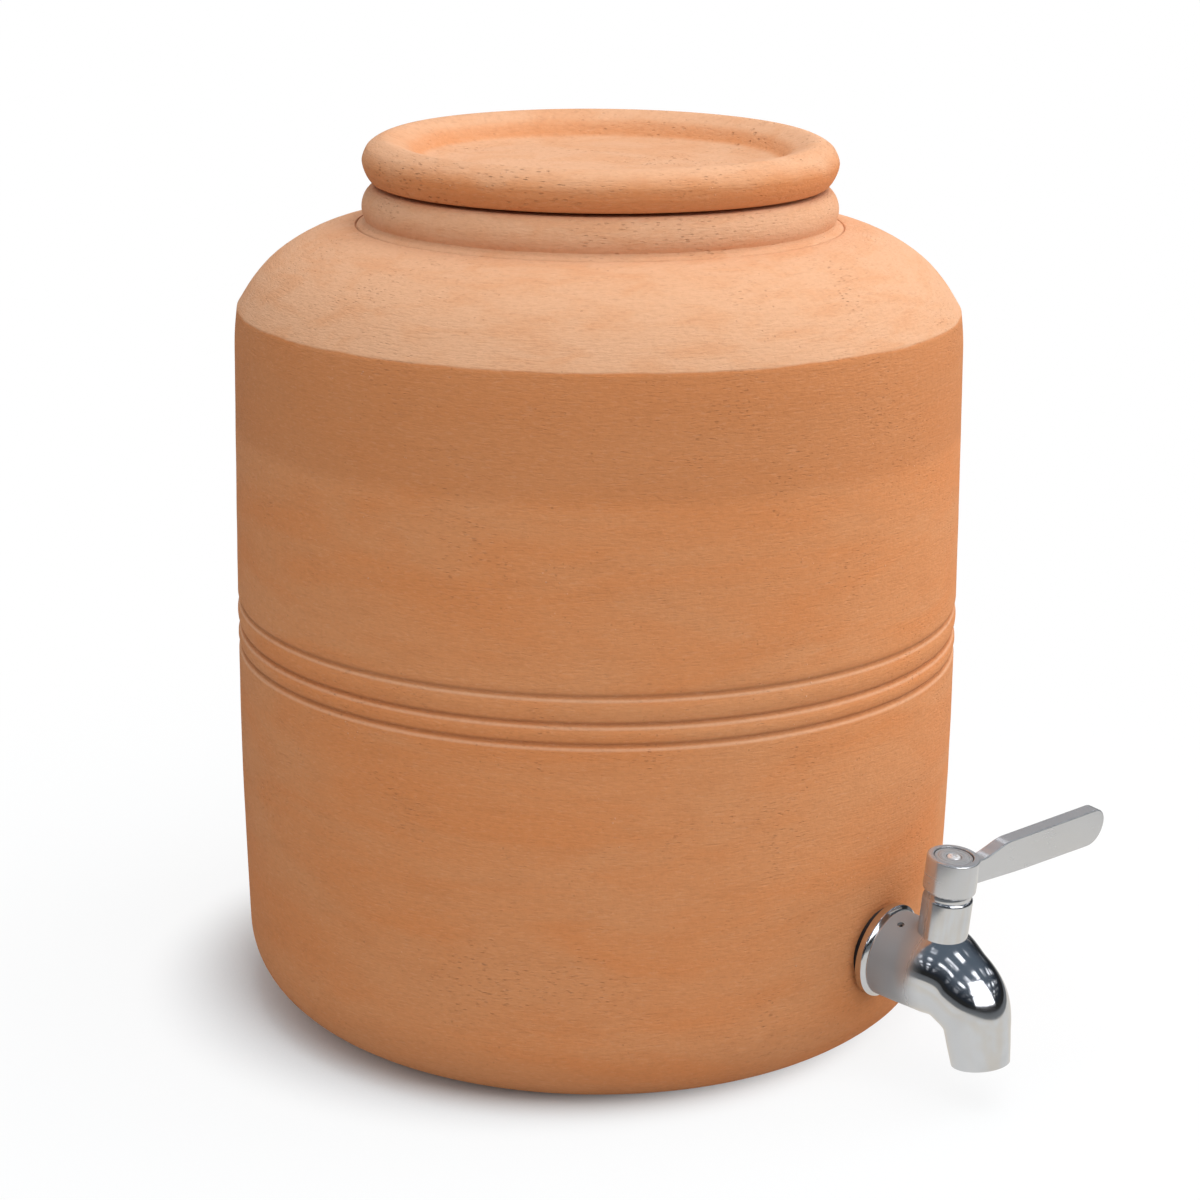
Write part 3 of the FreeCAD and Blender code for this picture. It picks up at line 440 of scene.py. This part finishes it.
def splitLong(bm, longest):
    # more rows where an edge is longer than the given length in mm
    for edge in bm.edges[:]:
        cuts = int(edge.calc_length() / (longest * mm))
        if cuts:
            bmesh.ops.subdivide_edges(bm, edges=[edge], cuts=cuts)


def spinRound(bm, steps):
    bmesh.ops.spin(bm, geom=bm.verts[:] + bm.edges[:], cent=(0, 0, 0), axis=(0, 0, 1), dvec=(0, 0, 0),
                   angle=math.radians(360), steps=steps, use_merge=True, use_duplicate=False)
    bmesh.ops.remove_doubles(bm, verts=bm.verts[:], dist=1e-6)


def movePiece(bm, place):
    bmesh.ops.transform(bm, matrix=place, verts=bm.verts[:])


def turned(corners, steps, place, closed=False):
    # a profile spun round its axis and put in its place
    bm = bmesh.new()
    drawProfile(bm, corners, closed)
    spinRound(bm, steps)
    movePiece(bm, place)
    return bm


def shaped(bm, tools, operation="DIFFERENCE"):
    # carves closed bmeshes out of another, or joins them to it, and gives a new bmesh
    work = bpy.data.objects.new("work", bpy.data.meshes.new("work"))
    bpy.context.collection.objects.link(work)
    bmesh.ops.recalc_face_normals(bm, faces=bm.faces[:])
    bm.to_mesh(work.data)
    bm.free()
    for tool in tools:
        bmesh.ops.recalc_face_normals(tool, faces=tool.faces[:])
        other = bpy.data.objects.new("tool", bpy.data.meshes.new("tool"))
        bpy.context.collection.objects.link(other)
        tool.to_mesh(other.data)
        tool.free()
        step = work.modifiers.new("cut", "BOOLEAN")
        step.operation, step.solver, step.object = operation, "EXACT", other
        bpy.context.view_layer.update()
        done = bpy.data.meshes.new_from_object(work.evaluated_get(bpy.context.evaluated_depsgraph_get()))
        work.modifiers.clear()
        work.data = done
        bpy.data.objects.remove(other)
    result = bmesh.new()
    result.from_mesh(work.data)
    bpy.data.objects.remove(work)
    return result


def rod(radius, low, high, steps, place=Matrix()):
    bm = bmesh.new()
    shift = Matrix.Translation(Vector((0, 0, (low + high) / 2 * mm)))
    bmesh.ops.create_cone(bm, cap_ends=True, cap_tris=False, segments=steps, radius1=radius * mm,
                          radius2=radius * mm, depth=(high - low) * mm, matrix=place @ shift)
    return bm


def block(length, width, low, high, turn=0):
    # a box on the Z axis, turned about it
    bm = bmesh.new()
    bmesh.ops.create_cube(bm, size=1.0, matrix=Matrix.Rotation(math.radians(turn), 4, "Z")
                          @ Matrix.Translation(Vector((0, 0, (low + high) / 2 * mm)))
                          @ Matrix.Diagonal((length * mm, width * mm, (high - low) * mm, 1)))
    return bm


def threaded(bm, thread):
    # presses a thread into finely divided turned work that stands on the Z axis
    for vert in bm.verts:
        out = math.hypot(vert.co.x, vert.co.y)
        if out > thread["over"] * mm and thread["low"] * mm < vert.co.z < thread["high"] * mm:
            around = math.atan2(vert.co.y, vert.co.x) / (2 * math.pi)
            phase = vert.co.z / mm / thread["pitch"] - around
            tooth = abs((phase % 1.0) * 2 - 1)
            cut = thread["depth"] * min(max(tooth * 1.3 - 0.15, 0.0), 1.0)     # flat crests and roots
            share = (out / mm - cut) / (out / mm)
            vert.co.x *= share
            vert.co.y *= share


# pot body

potPlan = {
    "profile": [
        (0, 0), (137.5, 0, 30.0, 20), (139.55, 67.5, 18.0, 5), (140.2, 105, 12.0, 4),
        (140.0, 142.6, 0.7, 3), (138.65, 144.6, 0.12, 1), (142.1, 148.45, 4.95, 7), (138.25, 152.0, 0.12, 1),
        (142.1, 156.85, 5.95, 8), (138.75, 162.0, 0.12, 1), (139.9, 164.3, 0.8, 3),
        (139.2, 215.0, 20.0, 3), (138.2, 265.8, 4.0, 4), (137.1, 274.9, 0.25, 2), (131.9, 283.2, 3.2, 5),
        (116.3, 301.6, 18.5, 10), (92.5, 304.8, 0.25, 2), (92.05, 304.05, 0.1, 1), (91.6, 304.95, 0.25, 2),
        (89.4, 305.6, 0.5, 2), (88.6, 306.9, 0.3, 2), (92.35, 313.1, 6.9, 9), (86.2, 319.1, 1.5, 6),
        (76.0, 319.1, 1.6, 6), (76.0, 295.3, 6.0, 7), (124.6, 277.1, 9.0, 4), (128.7, 265.8, 3.0, 3),
        (130.7, 105, 8, 4), (128.0, 11.0, 20.5, 12), (0, 11.0)],
    "steps": 240,
    "longest": 2.6,
    "wobble": 0.27,       # how far the hand-turned wall strays inwards, mm
    "ripple": 0.12,
    "throwing": 0.22,     # height of the finger rings inside
    "throwingPitch": 12.5,
    "inside": (131.5, 262.0),     # radius and height of the room inside
    "steady": (20.0, 4.0),        # middle of the floor and standing face, which stay true
    # (radius, from, to) along the tap
    "outerSeat": (15.4, 0.0, 12.0),
    "innerSeat": (17.4, -20.0, -7.1),
    "hole": (10.98, -22.0, 14.0),
    "holeSteps": 128,
}


def strayInwards(bm, plan):
    # the wall leans and swells a little, the way a hand-turned one does, never past its own size
    steadyOut, steadyUp = plan["steady"]
    insideOut, insideUp = plan["inside"]
    for vert in bm.verts:
        out = Vector((vert.co.x, vert.co.y, 0))
        if out.length < steadyOut * mm or vert.co.z < steadyUp * mm:
            continue
        way = out.normalized()
        if out.length < insideOut * mm and vert.co.z < insideUp * mm:
            wave = math.sin(vert.co.z * 2 * math.pi / (plan["throwingPitch"] * mm) + math.atan2(way.y, way.x))
            shift = plan["throwing"] * (0.5 + 0.5 * wave)
        else:
            slow = noise.noise(Vector((way.x * 0.9, way.y * 0.9, vert.co.z * 9.0 + 4.0)))
            rings = noise.noise(Vector((way.x * 0.35, way.y * 0.35, vert.co.z * 95.0)))
            shift = plan["wobble"] * (0.5 + 0.5 * slow) + plan["ripple"] * (0.5 + 0.5 * rings)
        vert.co -= way * shift * mm


def buildPot():
    plan = potPlan
    bm = bmesh.new()
    drawProfile(bm, plan["profile"])
    splitLong(bm, plan["longest"])
    spinRound(bm, plan["steps"])
    strayInwards(bm, plan)
    tools = [rod(*plan[key], plan["holeSteps"], flowPlace) for key in ("hole", "outerSeat", "innerSeat")]
    bm = shaped(bm, tools)
    newPiece("potBody", bm, potClay, "pot", "pot_body", 26.0)


buildPot()
print("pot turned")


# lid

lidPlan = {
    "base": 319.4,
    "profile": [
        (0, -3.0), (65.5, -1.3, 0.8, 2), (66.1, -9.0, 2.0, 5), (74.4, -9.0, 2.0, 5), (74.4, 0, 0.3, 2),
        (79.0, 0, 0.4, 2), (79.8, 0.9, 0.4, 2), (85.6, 0.9, 1.0, 3), (89.4, 5.2, 4.0, 6),
        (89.75, 11.5, 4.5, 6), (86.6, 18.4, 4.6, 7), (79.8, 20.1, 3.6, 5), (71.6, 15.9, 1.5, 4),
        (67.2, 10.4, 1.7, 4), (60.0, 9.2, 4.0, 4), (0, 8.2)],
    "steps": 220,
    "longest": 2.2,
    "wobble": 0.3,
    "lean": (-0.766, -0.643),     # the side on which the rim was pressed lower
    "drop": 3.9,
    "dropOver": (8.0, 11.0),      # it sets in above this height, over this much
    "rim": 50.0,                  # the middle of the dish stays true
    "chip": 0.18,
}


def buildLid():
    plan = lidPlan
    bm = bmesh.new()
    drawProfile(bm, plan["profile"])
    splitLong(bm, plan["longest"])
    spinRound(bm, plan["steps"])
    lean = Vector((*plan["lean"], 0))
    dropFrom, dropOver = plan["dropOver"]
    for vert in bm.verts:
        out = Vector((vert.co.x, vert.co.y, 0))
        if out.length > plan["rim"] * mm:
            way = out.normalized()
            height = min(max((vert.co.z / mm - dropFrom) / dropOver, 0.0), 1.0)
            eased = height * height * (3 - 2 * height)
            vert.co.z -= plan["drop"] * mm * (0.5 + 0.5 * way.dot(lean)) * eased
            stray = noise.noise(Vector((way.x * 1.3, way.y * 1.3, vert.co.z * 60.0)))
            chip = max(0.0, noise.noise(vert.co * 130.0) - 0.25)
            vert.co -= way * (plan["wobble"] * (0.5 + 0.5 * stray) + plan["chip"] * chip) * mm
    movePiece(bm, Matrix.Translation(Vector((0, 0, plan["base"] * mm))))
    newPiece("lidTop", bm, lidClay, "lid", "lid", 30.0)


buildLid()
print("lid turned")


# wall flange

flangePlan = {
    "profile": [(10.98, 2.9), (18.0, 2.9, 0.25, 2), (18.0, 5.7, 0.3, 3), (16.5, 6.9, 0.3, 3), (10.98, 6.9)],
    "steps": 160,
}


def buildFlange():
    bm = turned(flangePlan["profile"], flangePlan["steps"], flowPlace, closed=True)
    newPiece("wallFlange", bm, chrome, "pot", "wall_flange", 40.0)


buildFlange()
print("flange turned")


# threaded shank through the pot wall

shankPlan = {
    "profile": [(7.0, -25.6, 0.3, 2), (7.0, 18.7), (9.0, 18.7, 0.25, 2), (9.0, 14.7), (10.48, 14.7, 0.4, 3),
                (10.48, -24.6), (9.5, -25.6)],
    "steps": 96,
    "rows": 0.25,
    "thread": {"pitch": 1.5, "depth": 0.7, "low": -25.5, "high": 14.1, "over": 10.4},
}


def buildShank():
    plan = shankPlan
    bm = bmesh.new()
    drawProfile(bm, plan["profile"], closed=True)
    outside = plan["thread"]["over"] * mm
    outer = [edge for edge in bm.edges
             if min(vert.co.x for vert in edge.verts) > outside and edge.calc_length() > 5 * mm]
    cuts = int(outer[0].calc_length() / (plan["rows"] * mm))
    bmesh.ops.subdivide_edges(bm, edges=outer, cuts=cuts)
    spinRound(bm, plan["steps"])
    threaded(bm, plan["thread"])
    movePiece(bm, flowPlace)
    newPiece("shankTube", bm, brass, "pot", "shank", 40.0)


buildShank()
print("shank threaded")


# tap body

castPlan = {
    "front": 6.9, "bendStart": 28.4, "bendRadius": 19.0, "bendAngle": 75.0,
    # (length along the middle line, radius)
    "radii": [(0.0, 16.4), (7.17, 16.3), (14.33, 16.05), (21.5, 15.6), (29.8, 14.95), (38.1, 14.2),
              (46.4, 12.35), (53.3, 11.6), (60.3, 10.8)],
    "bulge": (27.0, 2.2, 16.4),
    "soften": 2.6,        # width of the blend between barrel and housing
    "rows": 74,
    "steps": 144,
    "boss": [(0, 0), (9.2, 0), (9.2, 30.9, 0.9, 4), (8.45, 31.3, 0.2, 2), (8.45, 33.2, 0.2, 2), (0, 33.2)],
    "chamber": [(0, 5.0), (12.3, 5.0), (12.3, 8.7), (10.53, 8.7), (10.53, 14.7), (9.05, 14.7), (9.05, 35.3),
                (0, 35.3)],
    "chamberSteps": 96,
    "stemWay": [(0, 5.0), (5.1, 5.0), (5.1, 12.05), (3.3, 12.05), (3.3, 14.6), (5.5, 14.6), (5.5, 34.0),
                (0, 34.0)],
    # (distance from the wall, radius) of the water's way behind the ball
    "waterway": [(34.0, 6.0), (37.0, 6.0), (46.0, 6.6), (56.0, 8.0), (66.0, 8.6)],
    "waterStart": 27.0, "waterPast": 1.0, "waterRows": 24,
    "waySteps": 72,
    "stopPin": (0.8, 22.0, 34.0, 24), "pinOff": 7.2,
    "grub": (1.3, 10.5, 19.0, 32), "grubAlong": 12.4, "grubTurned": 20.0,
}


def flowLine(length, plan):
    # a point and the heading at a length along the casting's middle line, in mm, in the tap's frame
    radius, bend = plan["bendRadius"], math.radians(plan["bendAngle"])
    straight = plan["bendStart"] - plan["front"]
    if length <= straight:
        return Vector((plan["front"] + length, 0, 0)), 0.0
    turn = min((length - straight) / radius, bend)
    point = Vector((plan["bendStart"] + radius * math.sin(turn), 0, -radius * (1 - math.cos(turn))))
    rest = max(length - straight - bend * radius, 0.0)
    return point + Vector((math.cos(turn), 0, -math.sin(turn))) * rest, turn


def smoothRadius(length, table):
    # Catmull-Rom through the table, so the reflections run on without a break
    index = 0
    while index < len(table) - 2 and length > table[index + 1][0]:
        index += 1
    before = table[max(index - 1, 0)]
    first, second = table[index], table[index + 1]
    after = table[min(index + 2, len(table) - 1)]
    share = (length - first[0]) / (second[0] - first[0])
    slopeIn = (second[1] - before[1]) / (second[0] - before[0]) * (second[0] - first[0])
    slopeOut = (after[1] - first[1]) / (after[0] - first[0]) * (second[0] - first[0])
    square, cube = share * share, share ** 3
    return ((2 * cube - 3 * square + 1) * first[1] + (cube - 2 * square + share) * slopeIn
            + (3 * square - 2 * cube) * second[1] + (cube - square) * slopeOut)


def tube(bm, stations, steps):
    # circles square to the flow line, bridged one to the next, with capped ends
    rows, loops = [], []
    for point, turn, radius in stations:
        place = Matrix.Translation(point * mm) @ Matrix.Rotation(turn, 4, "Y") @ layAlongFlow
        made = bmesh.ops.create_circle(bm, cap_ends=False, segments=steps, radius=radius * mm, matrix=place)
        rows.append(made["verts"])
        loops.append(list({edge for vert in made["verts"] for edge in vert.link_edges}))
    for first, second in zip(loops, loops[1:]):
        bmesh.ops.bridge_loops(bm, edges=first + second)
    bmesh.ops.contextual_create(bm, geom=loops[0])
    bmesh.ops.contextual_create(bm, geom=loops[-1])
    return rows


def swellHousing(rows, stations, plan):
    # the round valve housing swells out of the barrel under the boss
    centreX, centreZ, bulgeRadius = plan["bulge"]
    bulgeCentre = Vector((centreX, 0, centreZ)) * mm
    soft = plan["soften"] * mm
    for verts, (middle, turn, radius) in zip(rows[1:-1], stations[1:-1]):
        middle = middle * mm
        for vert in verts:
            ray = (vert.co - middle).normalized()
            offset = middle - bulgeCentre
            along = offset.dot(ray)
            inside = along * along - offset.length_squared + (bulgeRadius * mm) ** 2
            sphere = math.sqrt(inside) - along if inside > 0 else -1.0
            lift = max(soft - abs(radius * mm - sphere), 0.0) ** 2 / (4 * soft)
            vert.co = middle + ray * (max(radius * mm, sphere) + lift)


def buildTap():
    plan = castPlan
    total = plan["radii"][-1][0]
    bm = bmesh.new()
    stations = []
    for row in range(plan["rows"] + 1):
        length = total * row / plan["rows"]
        stations.append((*flowLine(length, plan), smoothRadius(length, plan["radii"])))
    rows = tube(bm, stations, plan["steps"])
    swellHousing(rows, stations, plan)
    bm = shaped(bm, [turned(plan["boss"], plan["steps"], toStem)], "UNION")

    chamber = turned(plan["chamber"], plan["chamberSteps"], layAlongFlow)
    stemHole = turned(plan["stemWay"], plan["waySteps"], toStem)
    water = bmesh.new()
    start, end = plan["waterStart"], total + plan["waterPast"]
    stations = []
    for row in range(plan["waterRows"] + 1):
        length = start + (end - start) * row / plan["waterRows"]
        radius = smoothRadius(length + plan["front"], plan["waterway"])
        stations.append((*flowLine(length, plan), radius))
    tube(water, stations, plan["waySteps"])
    toPin = Matrix.Translation(Vector(((tapPlan["stemAxis"] - plan["pinOff"]) * mm, 0, 0)))
    toGrub = (Matrix.Translation(Vector((plan["grubAlong"] * mm, 0, 0)))
              @ Matrix.Rotation(math.radians(plan["grubTurned"]), 4, "X"))
    bm = shaped(bm, [chamber, stemHole, water, rod(*plan["stopPin"], toPin), rod(*plan["grub"], toGrub)])
    movePiece(bm, tapPlace)
    newPiece("tapBody", bm, chrome, "pot", "tap_body", 28.0)


buildTap()
print("tap cast")


# lever handle: hub and blade

leverPlan = {
    "hub": [(0, 33.4), (9.0, 33.4, 0.1, 1), (9.7, 34.1, 0.35, 5), (9.7, 47.1, 0.8, 9), (7.35, 47.1, 0.15, 2),
            (7.35, 44.6), (0, 44.6)],
    "steps": 128,
    "cavity": [(0, 32.5), (5.5, 32.5), (5.5, 33.9), (0, 33.9)],
    "cavitySteps": 64,
    "square": (4.7, 4.7, 31.0, 41.8),
    "screwHole": (2.05, 41.0, 45.0, 48),
    # (reach, height, rounding) round the blade
    "blade": [(4.85, 33.9, 0), (38.0, 32.3, 3.0), (86.9, 31.6, 8.3), (86.9, 46.4, 6.3), (28.2, 46.4, 2.4),
              (16.5, 43.0, 2.4), (4.85, 43.0, 0)],
    "bladeSteps": 9,
    "thickness": 5.5,
    "edge": 0.45,
    "edgeFrom": 6.0,      # the blade's end inside the hub stays square
}


def cutBlade(plan):
    # the blade's outline, given its thickness and broken edges
    blade = bmesh.new()
    back = -plan["thickness"] / 2 * mm
    points = [blade.verts.new((back, reach * mm, up * mm)) for reach, up, rounding in plan["blade"]]
    blade.faces.new(points)
    for point, (reach, up, rounding) in zip(points, plan["blade"]):
        if rounding:
            roundCorner(blade, point, rounding, plan["bladeSteps"])
    made = bmesh.ops.extrude_face_region(blade, geom=blade.faces[:])
    bmesh.ops.translate(blade, vec=(plan["thickness"] * mm, 0, 0),
                        verts=[item for item in made["geom"] if isinstance(item, bmesh.types.BMVert)])
    bmesh.ops.recalc_face_normals(blade, faces=blade.faces[:])
    rims = [edge for edge in blade.edges if abs(edge.verts[0].co.x - edge.verts[1].co.x) < 1e-6
            and max(vert.co.y for vert in edge.verts) > plan["edgeFrom"] * mm]
    bmesh.ops.bevel(blade, geom=rims, offset=plan["edge"] * mm, offset_type="OFFSET", segments=3,
                    profile=0.5, affect="EDGES", clamp_overlap=True, material=-1)
    return blade


def buildLever():
    plan = leverPlan
    hub = turned(plan["hub"], plan["steps"], Matrix())
    bm = shaped(hub, [cutBlade(plan)], "UNION")
    cavity = turned(plan["cavity"], plan["cavitySteps"], Matrix())
    bm = shaped(bm, [cavity, block(*plan["square"]), rod(*plan["screwHole"])])
    movePiece(bm, leverPlace)
    newPiece("leverHandle", bm, satin, "lever", "lever_handle", 12.0)


buildLever()
print("lever shaped")


# handle cap

capPlan = {
    "profile": [(2.2, 44.6), (6.9, 44.6, 0.2, 2), (7.0, 46.8, 0.35, 4), (6.35, 46.8, 0.05, 1),
                (6.25, 46.68, 0.04, 1), (6.1, 46.68, 0.04, 1), (6.0, 46.8, 0.05, 1), (2.95, 46.8, 0.2, 3),
                (2.8, 46.0), (2.2, 46.0)],
    "steps": 144,
}


def buildCap():
    bm = turned(capPlan["profile"], capPlan["steps"], leverPlace, closed=True)
    newPiece("handleCap", bm, spun, "lever", "handle_cap", 30.0)


buildCap()
print("cap spun")


# handle screw with its cross recess

screwPlan = {
    "profile": [(0, 33.5), (1.55, 33.5), (1.95, 33.9), (1.95, 46.0), (2.5, 46.0, 0.1, 2),
                (2.5, 46.75, 0.3, 4), (1.5, 47.35, 1.2, 4), (0, 47.48)],
    "steps": 72,
    "rows": 0.115,
    "thread": {"pitch": 0.7, "depth": 0.28, "low": 33.9, "high": 45.2, "over": 1.9},
    "slot": (3.2, 0.75, 46.6, 48.0),
}


def buildScrew():
    plan = screwPlan
    bm = bmesh.new()
    drawProfile(bm, plan["profile"])
    for edge in bm.edges[:]:
        if edge.calc_length() > 5.0 * mm:
            bmesh.ops.subdivide_edges(bm, edges=[edge], cuts=int(edge.calc_length() / (plan["rows"] * mm)))
    spinRound(bm, plan["steps"])
    threaded(bm, plan["thread"])
    bm = shaped(bm, [block(*plan["slot"], turn) for turn in (0, 90)])
    movePiece(bm, leverPlace)
    newPiece("handleScrew", bm, bright, "lever", "handle_screw", 30.0)


buildScrew()
print("screw cut")


# carried CAD pieces take their own finishes

carried = {
    "outer_gasket": rubber, "inner_gasket": rubber, "shank_seal": rubber, "stem_o_ring": rubber,
    "inner_washer": steel, "grub_screw": steel, "stop_pin": steel, "valve_ball": steel,
    "valve_stem": brass, "lock_nut": brass, "gland_nut": brass,
    "inlet_seat": ptfe, "outlet_seat": ptfe, "thrust_washer": ptfe, "stem_packing": ptfe,
}
for label, material in carried.items():
    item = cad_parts[label]
    item.data.materials.clear()
    item.data.materials.append(material)
print("carried pieces finished")


# studio: pale floor, soft lamps and the camera

studio = {
    "camera": (-0.7842, -0.6583, 0.4543), "pitch": 16.22, "heading": -50.0, "roll": 0.495,
    "lens": 81.4, "shift": 0.0022,
    "ambient": 0.575,
    "mirroredRoom": 0.025,
    "lamps": {
        "topLamp": {"at": (0.15, -0.35, 1.8), "size": 1.4, "power": 12.2},
        "frontLamp": {"at": (-0.57, -0.80, 1.3), "size": 0.9, "power": 4.7},
        "sideLamp": {"at": (1.25, -0.85, 0.66), "size": 1.0, "power": 10.2},
    },
    "aim": (0, 0, 0.15),
    # bare paint within these radii, drawn out to the side where the shadow falls
    "paint": {"near": (0.108, 0.150), "wide": (0.15, 0.50), "side": (0.643, -0.766), "stretch": 0.2},
    "sheet": {"middle": (0.03, -0.17), "pale": 0.240, "dark": 0.270},
    "ceiling": {"middle": (0.1, -0.4), "height": 2.7, "half": 15.0, "spacing": 1.8, "lamp": 0.20},
    "backWall": {"at": (2.05, 1.43, 1.3), "half": (1.6, 0.9), "heading": -55.0},
    "window": {"at": (-0.41, -2.6, 1.8), "half": (1.4, 1.3), "heading": -10.0, "pane": (0.8, 1.0)},
}


def buildCamera():
    data = bpy.data.cameras.new("camera")
    data.sensor_width, data.lens, data.shift_x = 36.0, studio["lens"], studio["shift"]
    data.clip_start, data.clip_end = 0.05, 60.0
    camera = bpy.data.objects.new("camera", data)
    bpy.context.collection.objects.link(camera)
    turn = (Matrix.Rotation(math.radians(studio["heading"]), 4, "Z")
            @ Matrix.Rotation(math.radians(90 - studio["pitch"]), 4, "X")
            @ Matrix.Rotation(math.radians(studio["roll"]), 4, "Z"))
    camera.matrix_world = Matrix.Translation(Vector(studio["camera"])) @ turn
    bpy.context.scene.camera = camera


def floorFinish():
    # bare paint under the pot, so that its shadow stays, and plain white further out; in the metal's
    # reflections it is a small pale sheet in a dim room
    make = Finish(bpy.data.materials.new("floorPaint"))
    x, y, z = make.parts(make.place)
    plan, sheet = studio["paint"], studio["sheet"]
    away = farOut(x, y)
    drawn = away + (x * plan["side"][0] + y * plan["side"][1]) * plan["stretch"]
    far = make.between(drawn, *plan["near"], 0.0, 0.86) + make.between(away, *plan["wide"], 0.0, 0.14)
    grain = make.cloud(make.place, 900.0, 2.0, 0.5)
    tint = make.blend(make.between(grain, 0.3, 0.7), (0.86, 0.915, 0.95, 1), (0.88, 0.935, 0.97, 1))
    paint = make.node("ShaderNodeBsdfDiffuse", None, {"Color": tint, "Roughness": 0.4})
    off = farOut(x - sheet["middle"][0], y - sheet["middle"][1])
    stain = make.cloud(make.place, 14.0, 2.0, 0.5)
    cream = make.blend(make.between(stain, 0.35, 0.65), (0.80, 0.80, 0.79, 1), (0.78, 0.73, 0.65, 1))
    shade = make.blend(make.between(off, sheet["pale"], sheet["dark"]), cream, (0.022, 0.026, 0.033, 1))
    dull = make.node("ShaderNodeBsdfDiffuse", None, {"Color": (0.25, 0.24, 0.23, 1)})
    path = make.node("ShaderNodeLightPath")

    def mixed(share, first, second):
        step = make.node("ShaderNodeMixShader", None, {0: share})
        make.tree.links.new(first.outputs[0], step.inputs[1])
        make.tree.links.new(second.outputs[0], step.inputs[2])
        return step

    looked = mixed(far * make.wire(path, "Is Camera Ray"), paint, make.glow((1, 1, 1, 1)))
    # painted shade: to bounced light the floor is partly dull grey, so that less light comes up onto the
    # pot's foot
    looked = mixed(make.wire(path, "Is Diffuse Ray") * 0.34, looked, dull)
    looked = mixed(make.wire(path, "Is Glossy Ray") * 0.85, looked, make.glow(shade))
    return make.show(looked)


def buildCard(name, half, place, material, mirroredOnly=True):
    bm = bmesh.new()
    bmesh.ops.create_grid(bm, x_segments=1, y_segments=1, size=1.0)
    bmesh.ops.scale(bm, vec=(half[0], half[1], 1), verts=bm.verts[:])
    mesh = bpy.data.meshes.new(name)
    bm.to_mesh(mesh)
    bm.free()
    card = bpy.data.objects.new(name, mesh)
    card.matrix_world = place
    bpy.context.collection.objects.link(card)
    mesh.materials.append(material)
    if mirroredOnly:
        for side in ("camera", "diffuse", "transmission", "volume_scatter", "shadow"):
            setattr(card, "visible_" + side, False)


def buildWorld():
    # white behind the pot, an even soft light on it and a dim room in the metal
    world = bpy.data.worlds.new("room")
    bpy.context.scene.world = world
    make = Finish(world, "ShaderNodeOutputWorld")
    path = make.node("ShaderNodeLightPath")
    ambient = studio["ambient"]
    strength = (make.wire(path, "Is Camera Ray") * (1.0 - ambient)
                + make.wire(path, "Is Glossy Ray") * (studio["mirroredRoom"] - ambient) + ambient)
    make.show(make.node("ShaderNodeBackground", None, {"Color": (1, 1, 1, 1), "Strength": strength}))


def buildLamps():
    for name, plan in studio["lamps"].items():
        data = bpy.data.lights.new(name, "AREA")
        data.shape, data.size, data.energy = "DISK", plan["size"], plan["power"]
        lamp = bpy.data.objects.new(name, data)
        lamp.location = plan["at"]
        aim = Vector(studio["aim"]) - Vector(plan["at"])
        lamp.rotation_euler = aim.to_track_quat("-Z", "Y").to_euler()
        lamp.visible_glossy = False
        bpy.context.collection.objects.link(lamp)


def ceilingFinish():
    # rows of soft square lamps in a dim blue-grey ceiling, fainter towards the far walls
    plan = studio["ceiling"]
    make = Finish(bpy.data.materials.new("ceilingPanels"))
    x, y, z = make.parts(make.place)
    across = (x / plan["spacing"] + 0.35).maths("FRACT") - 0.5
    along = (y / plan["spacing"] + 0.5).maths("FRACT") - 0.5
    near = across.size().maths("MAXIMUM", along.size())
    lampMask = make.between(near, plan["lamp"] - 0.03, plan["lamp"] + 0.03, 1.0, 0.0)
    chosen = make.cells(make.moved(make.place, (0.7, 0.7, 0.7)), 1.0)
    away = farOut(x, y)
    lampMask = lampMask * make.between(chosen, 0.3, 0.65, 1.0, 0.1) * make.between(away, 5.0, 12.0, 1.0, 0.0)
    dim = make.blend(make.between(away, 1.0, 9.0), (0.13, 0.165, 0.21, 1), (0.02, 0.026, 0.036, 1))
    return make.show(make.glow(make.blend(lampMask, dim, (2.6, 2.65, 2.8, 1))))


def windowFinish():
    # a bright window with dark glazing bars, seen only in the metal
    make = Finish(bpy.data.materials.new("windowGlow"))
    x, y, z = make.parts(make.place)
    wide, high = studio["window"]["pane"]
    across = ((x / wide + 0.5).maths("FRACT") - 0.5).size()
    along = ((y / high + 0.5).maths("FRACT") - 0.5).size()
    bars = make.between(across.maths("MAXIMUM", along), 0.44, 0.48)
    return make.show(make.glow(make.blend(bars, (3.2, 3.25, 3.4, 1), (0.08, 0.09, 0.11, 1))))


def greyFinish():
    make = Finish(bpy.data.materials.new("greyWall"))
    cloudy = make.cloud(make.place, 1.4, 2.0, 0.5)
    shade = make.blend(make.between(cloudy, 0.35, 0.65), (0.27, 0.28, 0.30, 1), (0.33, 0.34, 0.36, 1))
    return make.show(make.glow(shade))


def upright(plan):
    # stands a card up at its place
    return (Matrix.Translation(Vector(plan["at"])) @ Matrix.Rotation(math.radians(plan["heading"]), 4, "Z")
            @ Matrix.Rotation(math.radians(90), 4, "X"))


def buildRoom():
    ceiling, wall, window = studio["ceiling"], studio["backWall"], studio["window"]
    # the floor lies a hair below the foot, so that the two faces don't flicker
    buildCard("floor", (9.0, 9.0), Matrix.Translation(Vector((0, 0, -0.0002))), floorFinish(), False)
    buildCard("ceiling", (ceiling["half"], ceiling["half"]),
              Matrix.Translation(Vector((*ceiling["middle"], ceiling["height"]))), ceilingFinish())
    buildCard("backWall", wall["half"], upright(wall), greyFinish())
    buildCard("window", window["half"], upright(window), windowFinish())


buildCamera()
buildRoom()
buildWorld()
buildLamps()
bpy.context.scene.view_settings.view_transform = "Standard"
print("studio set")
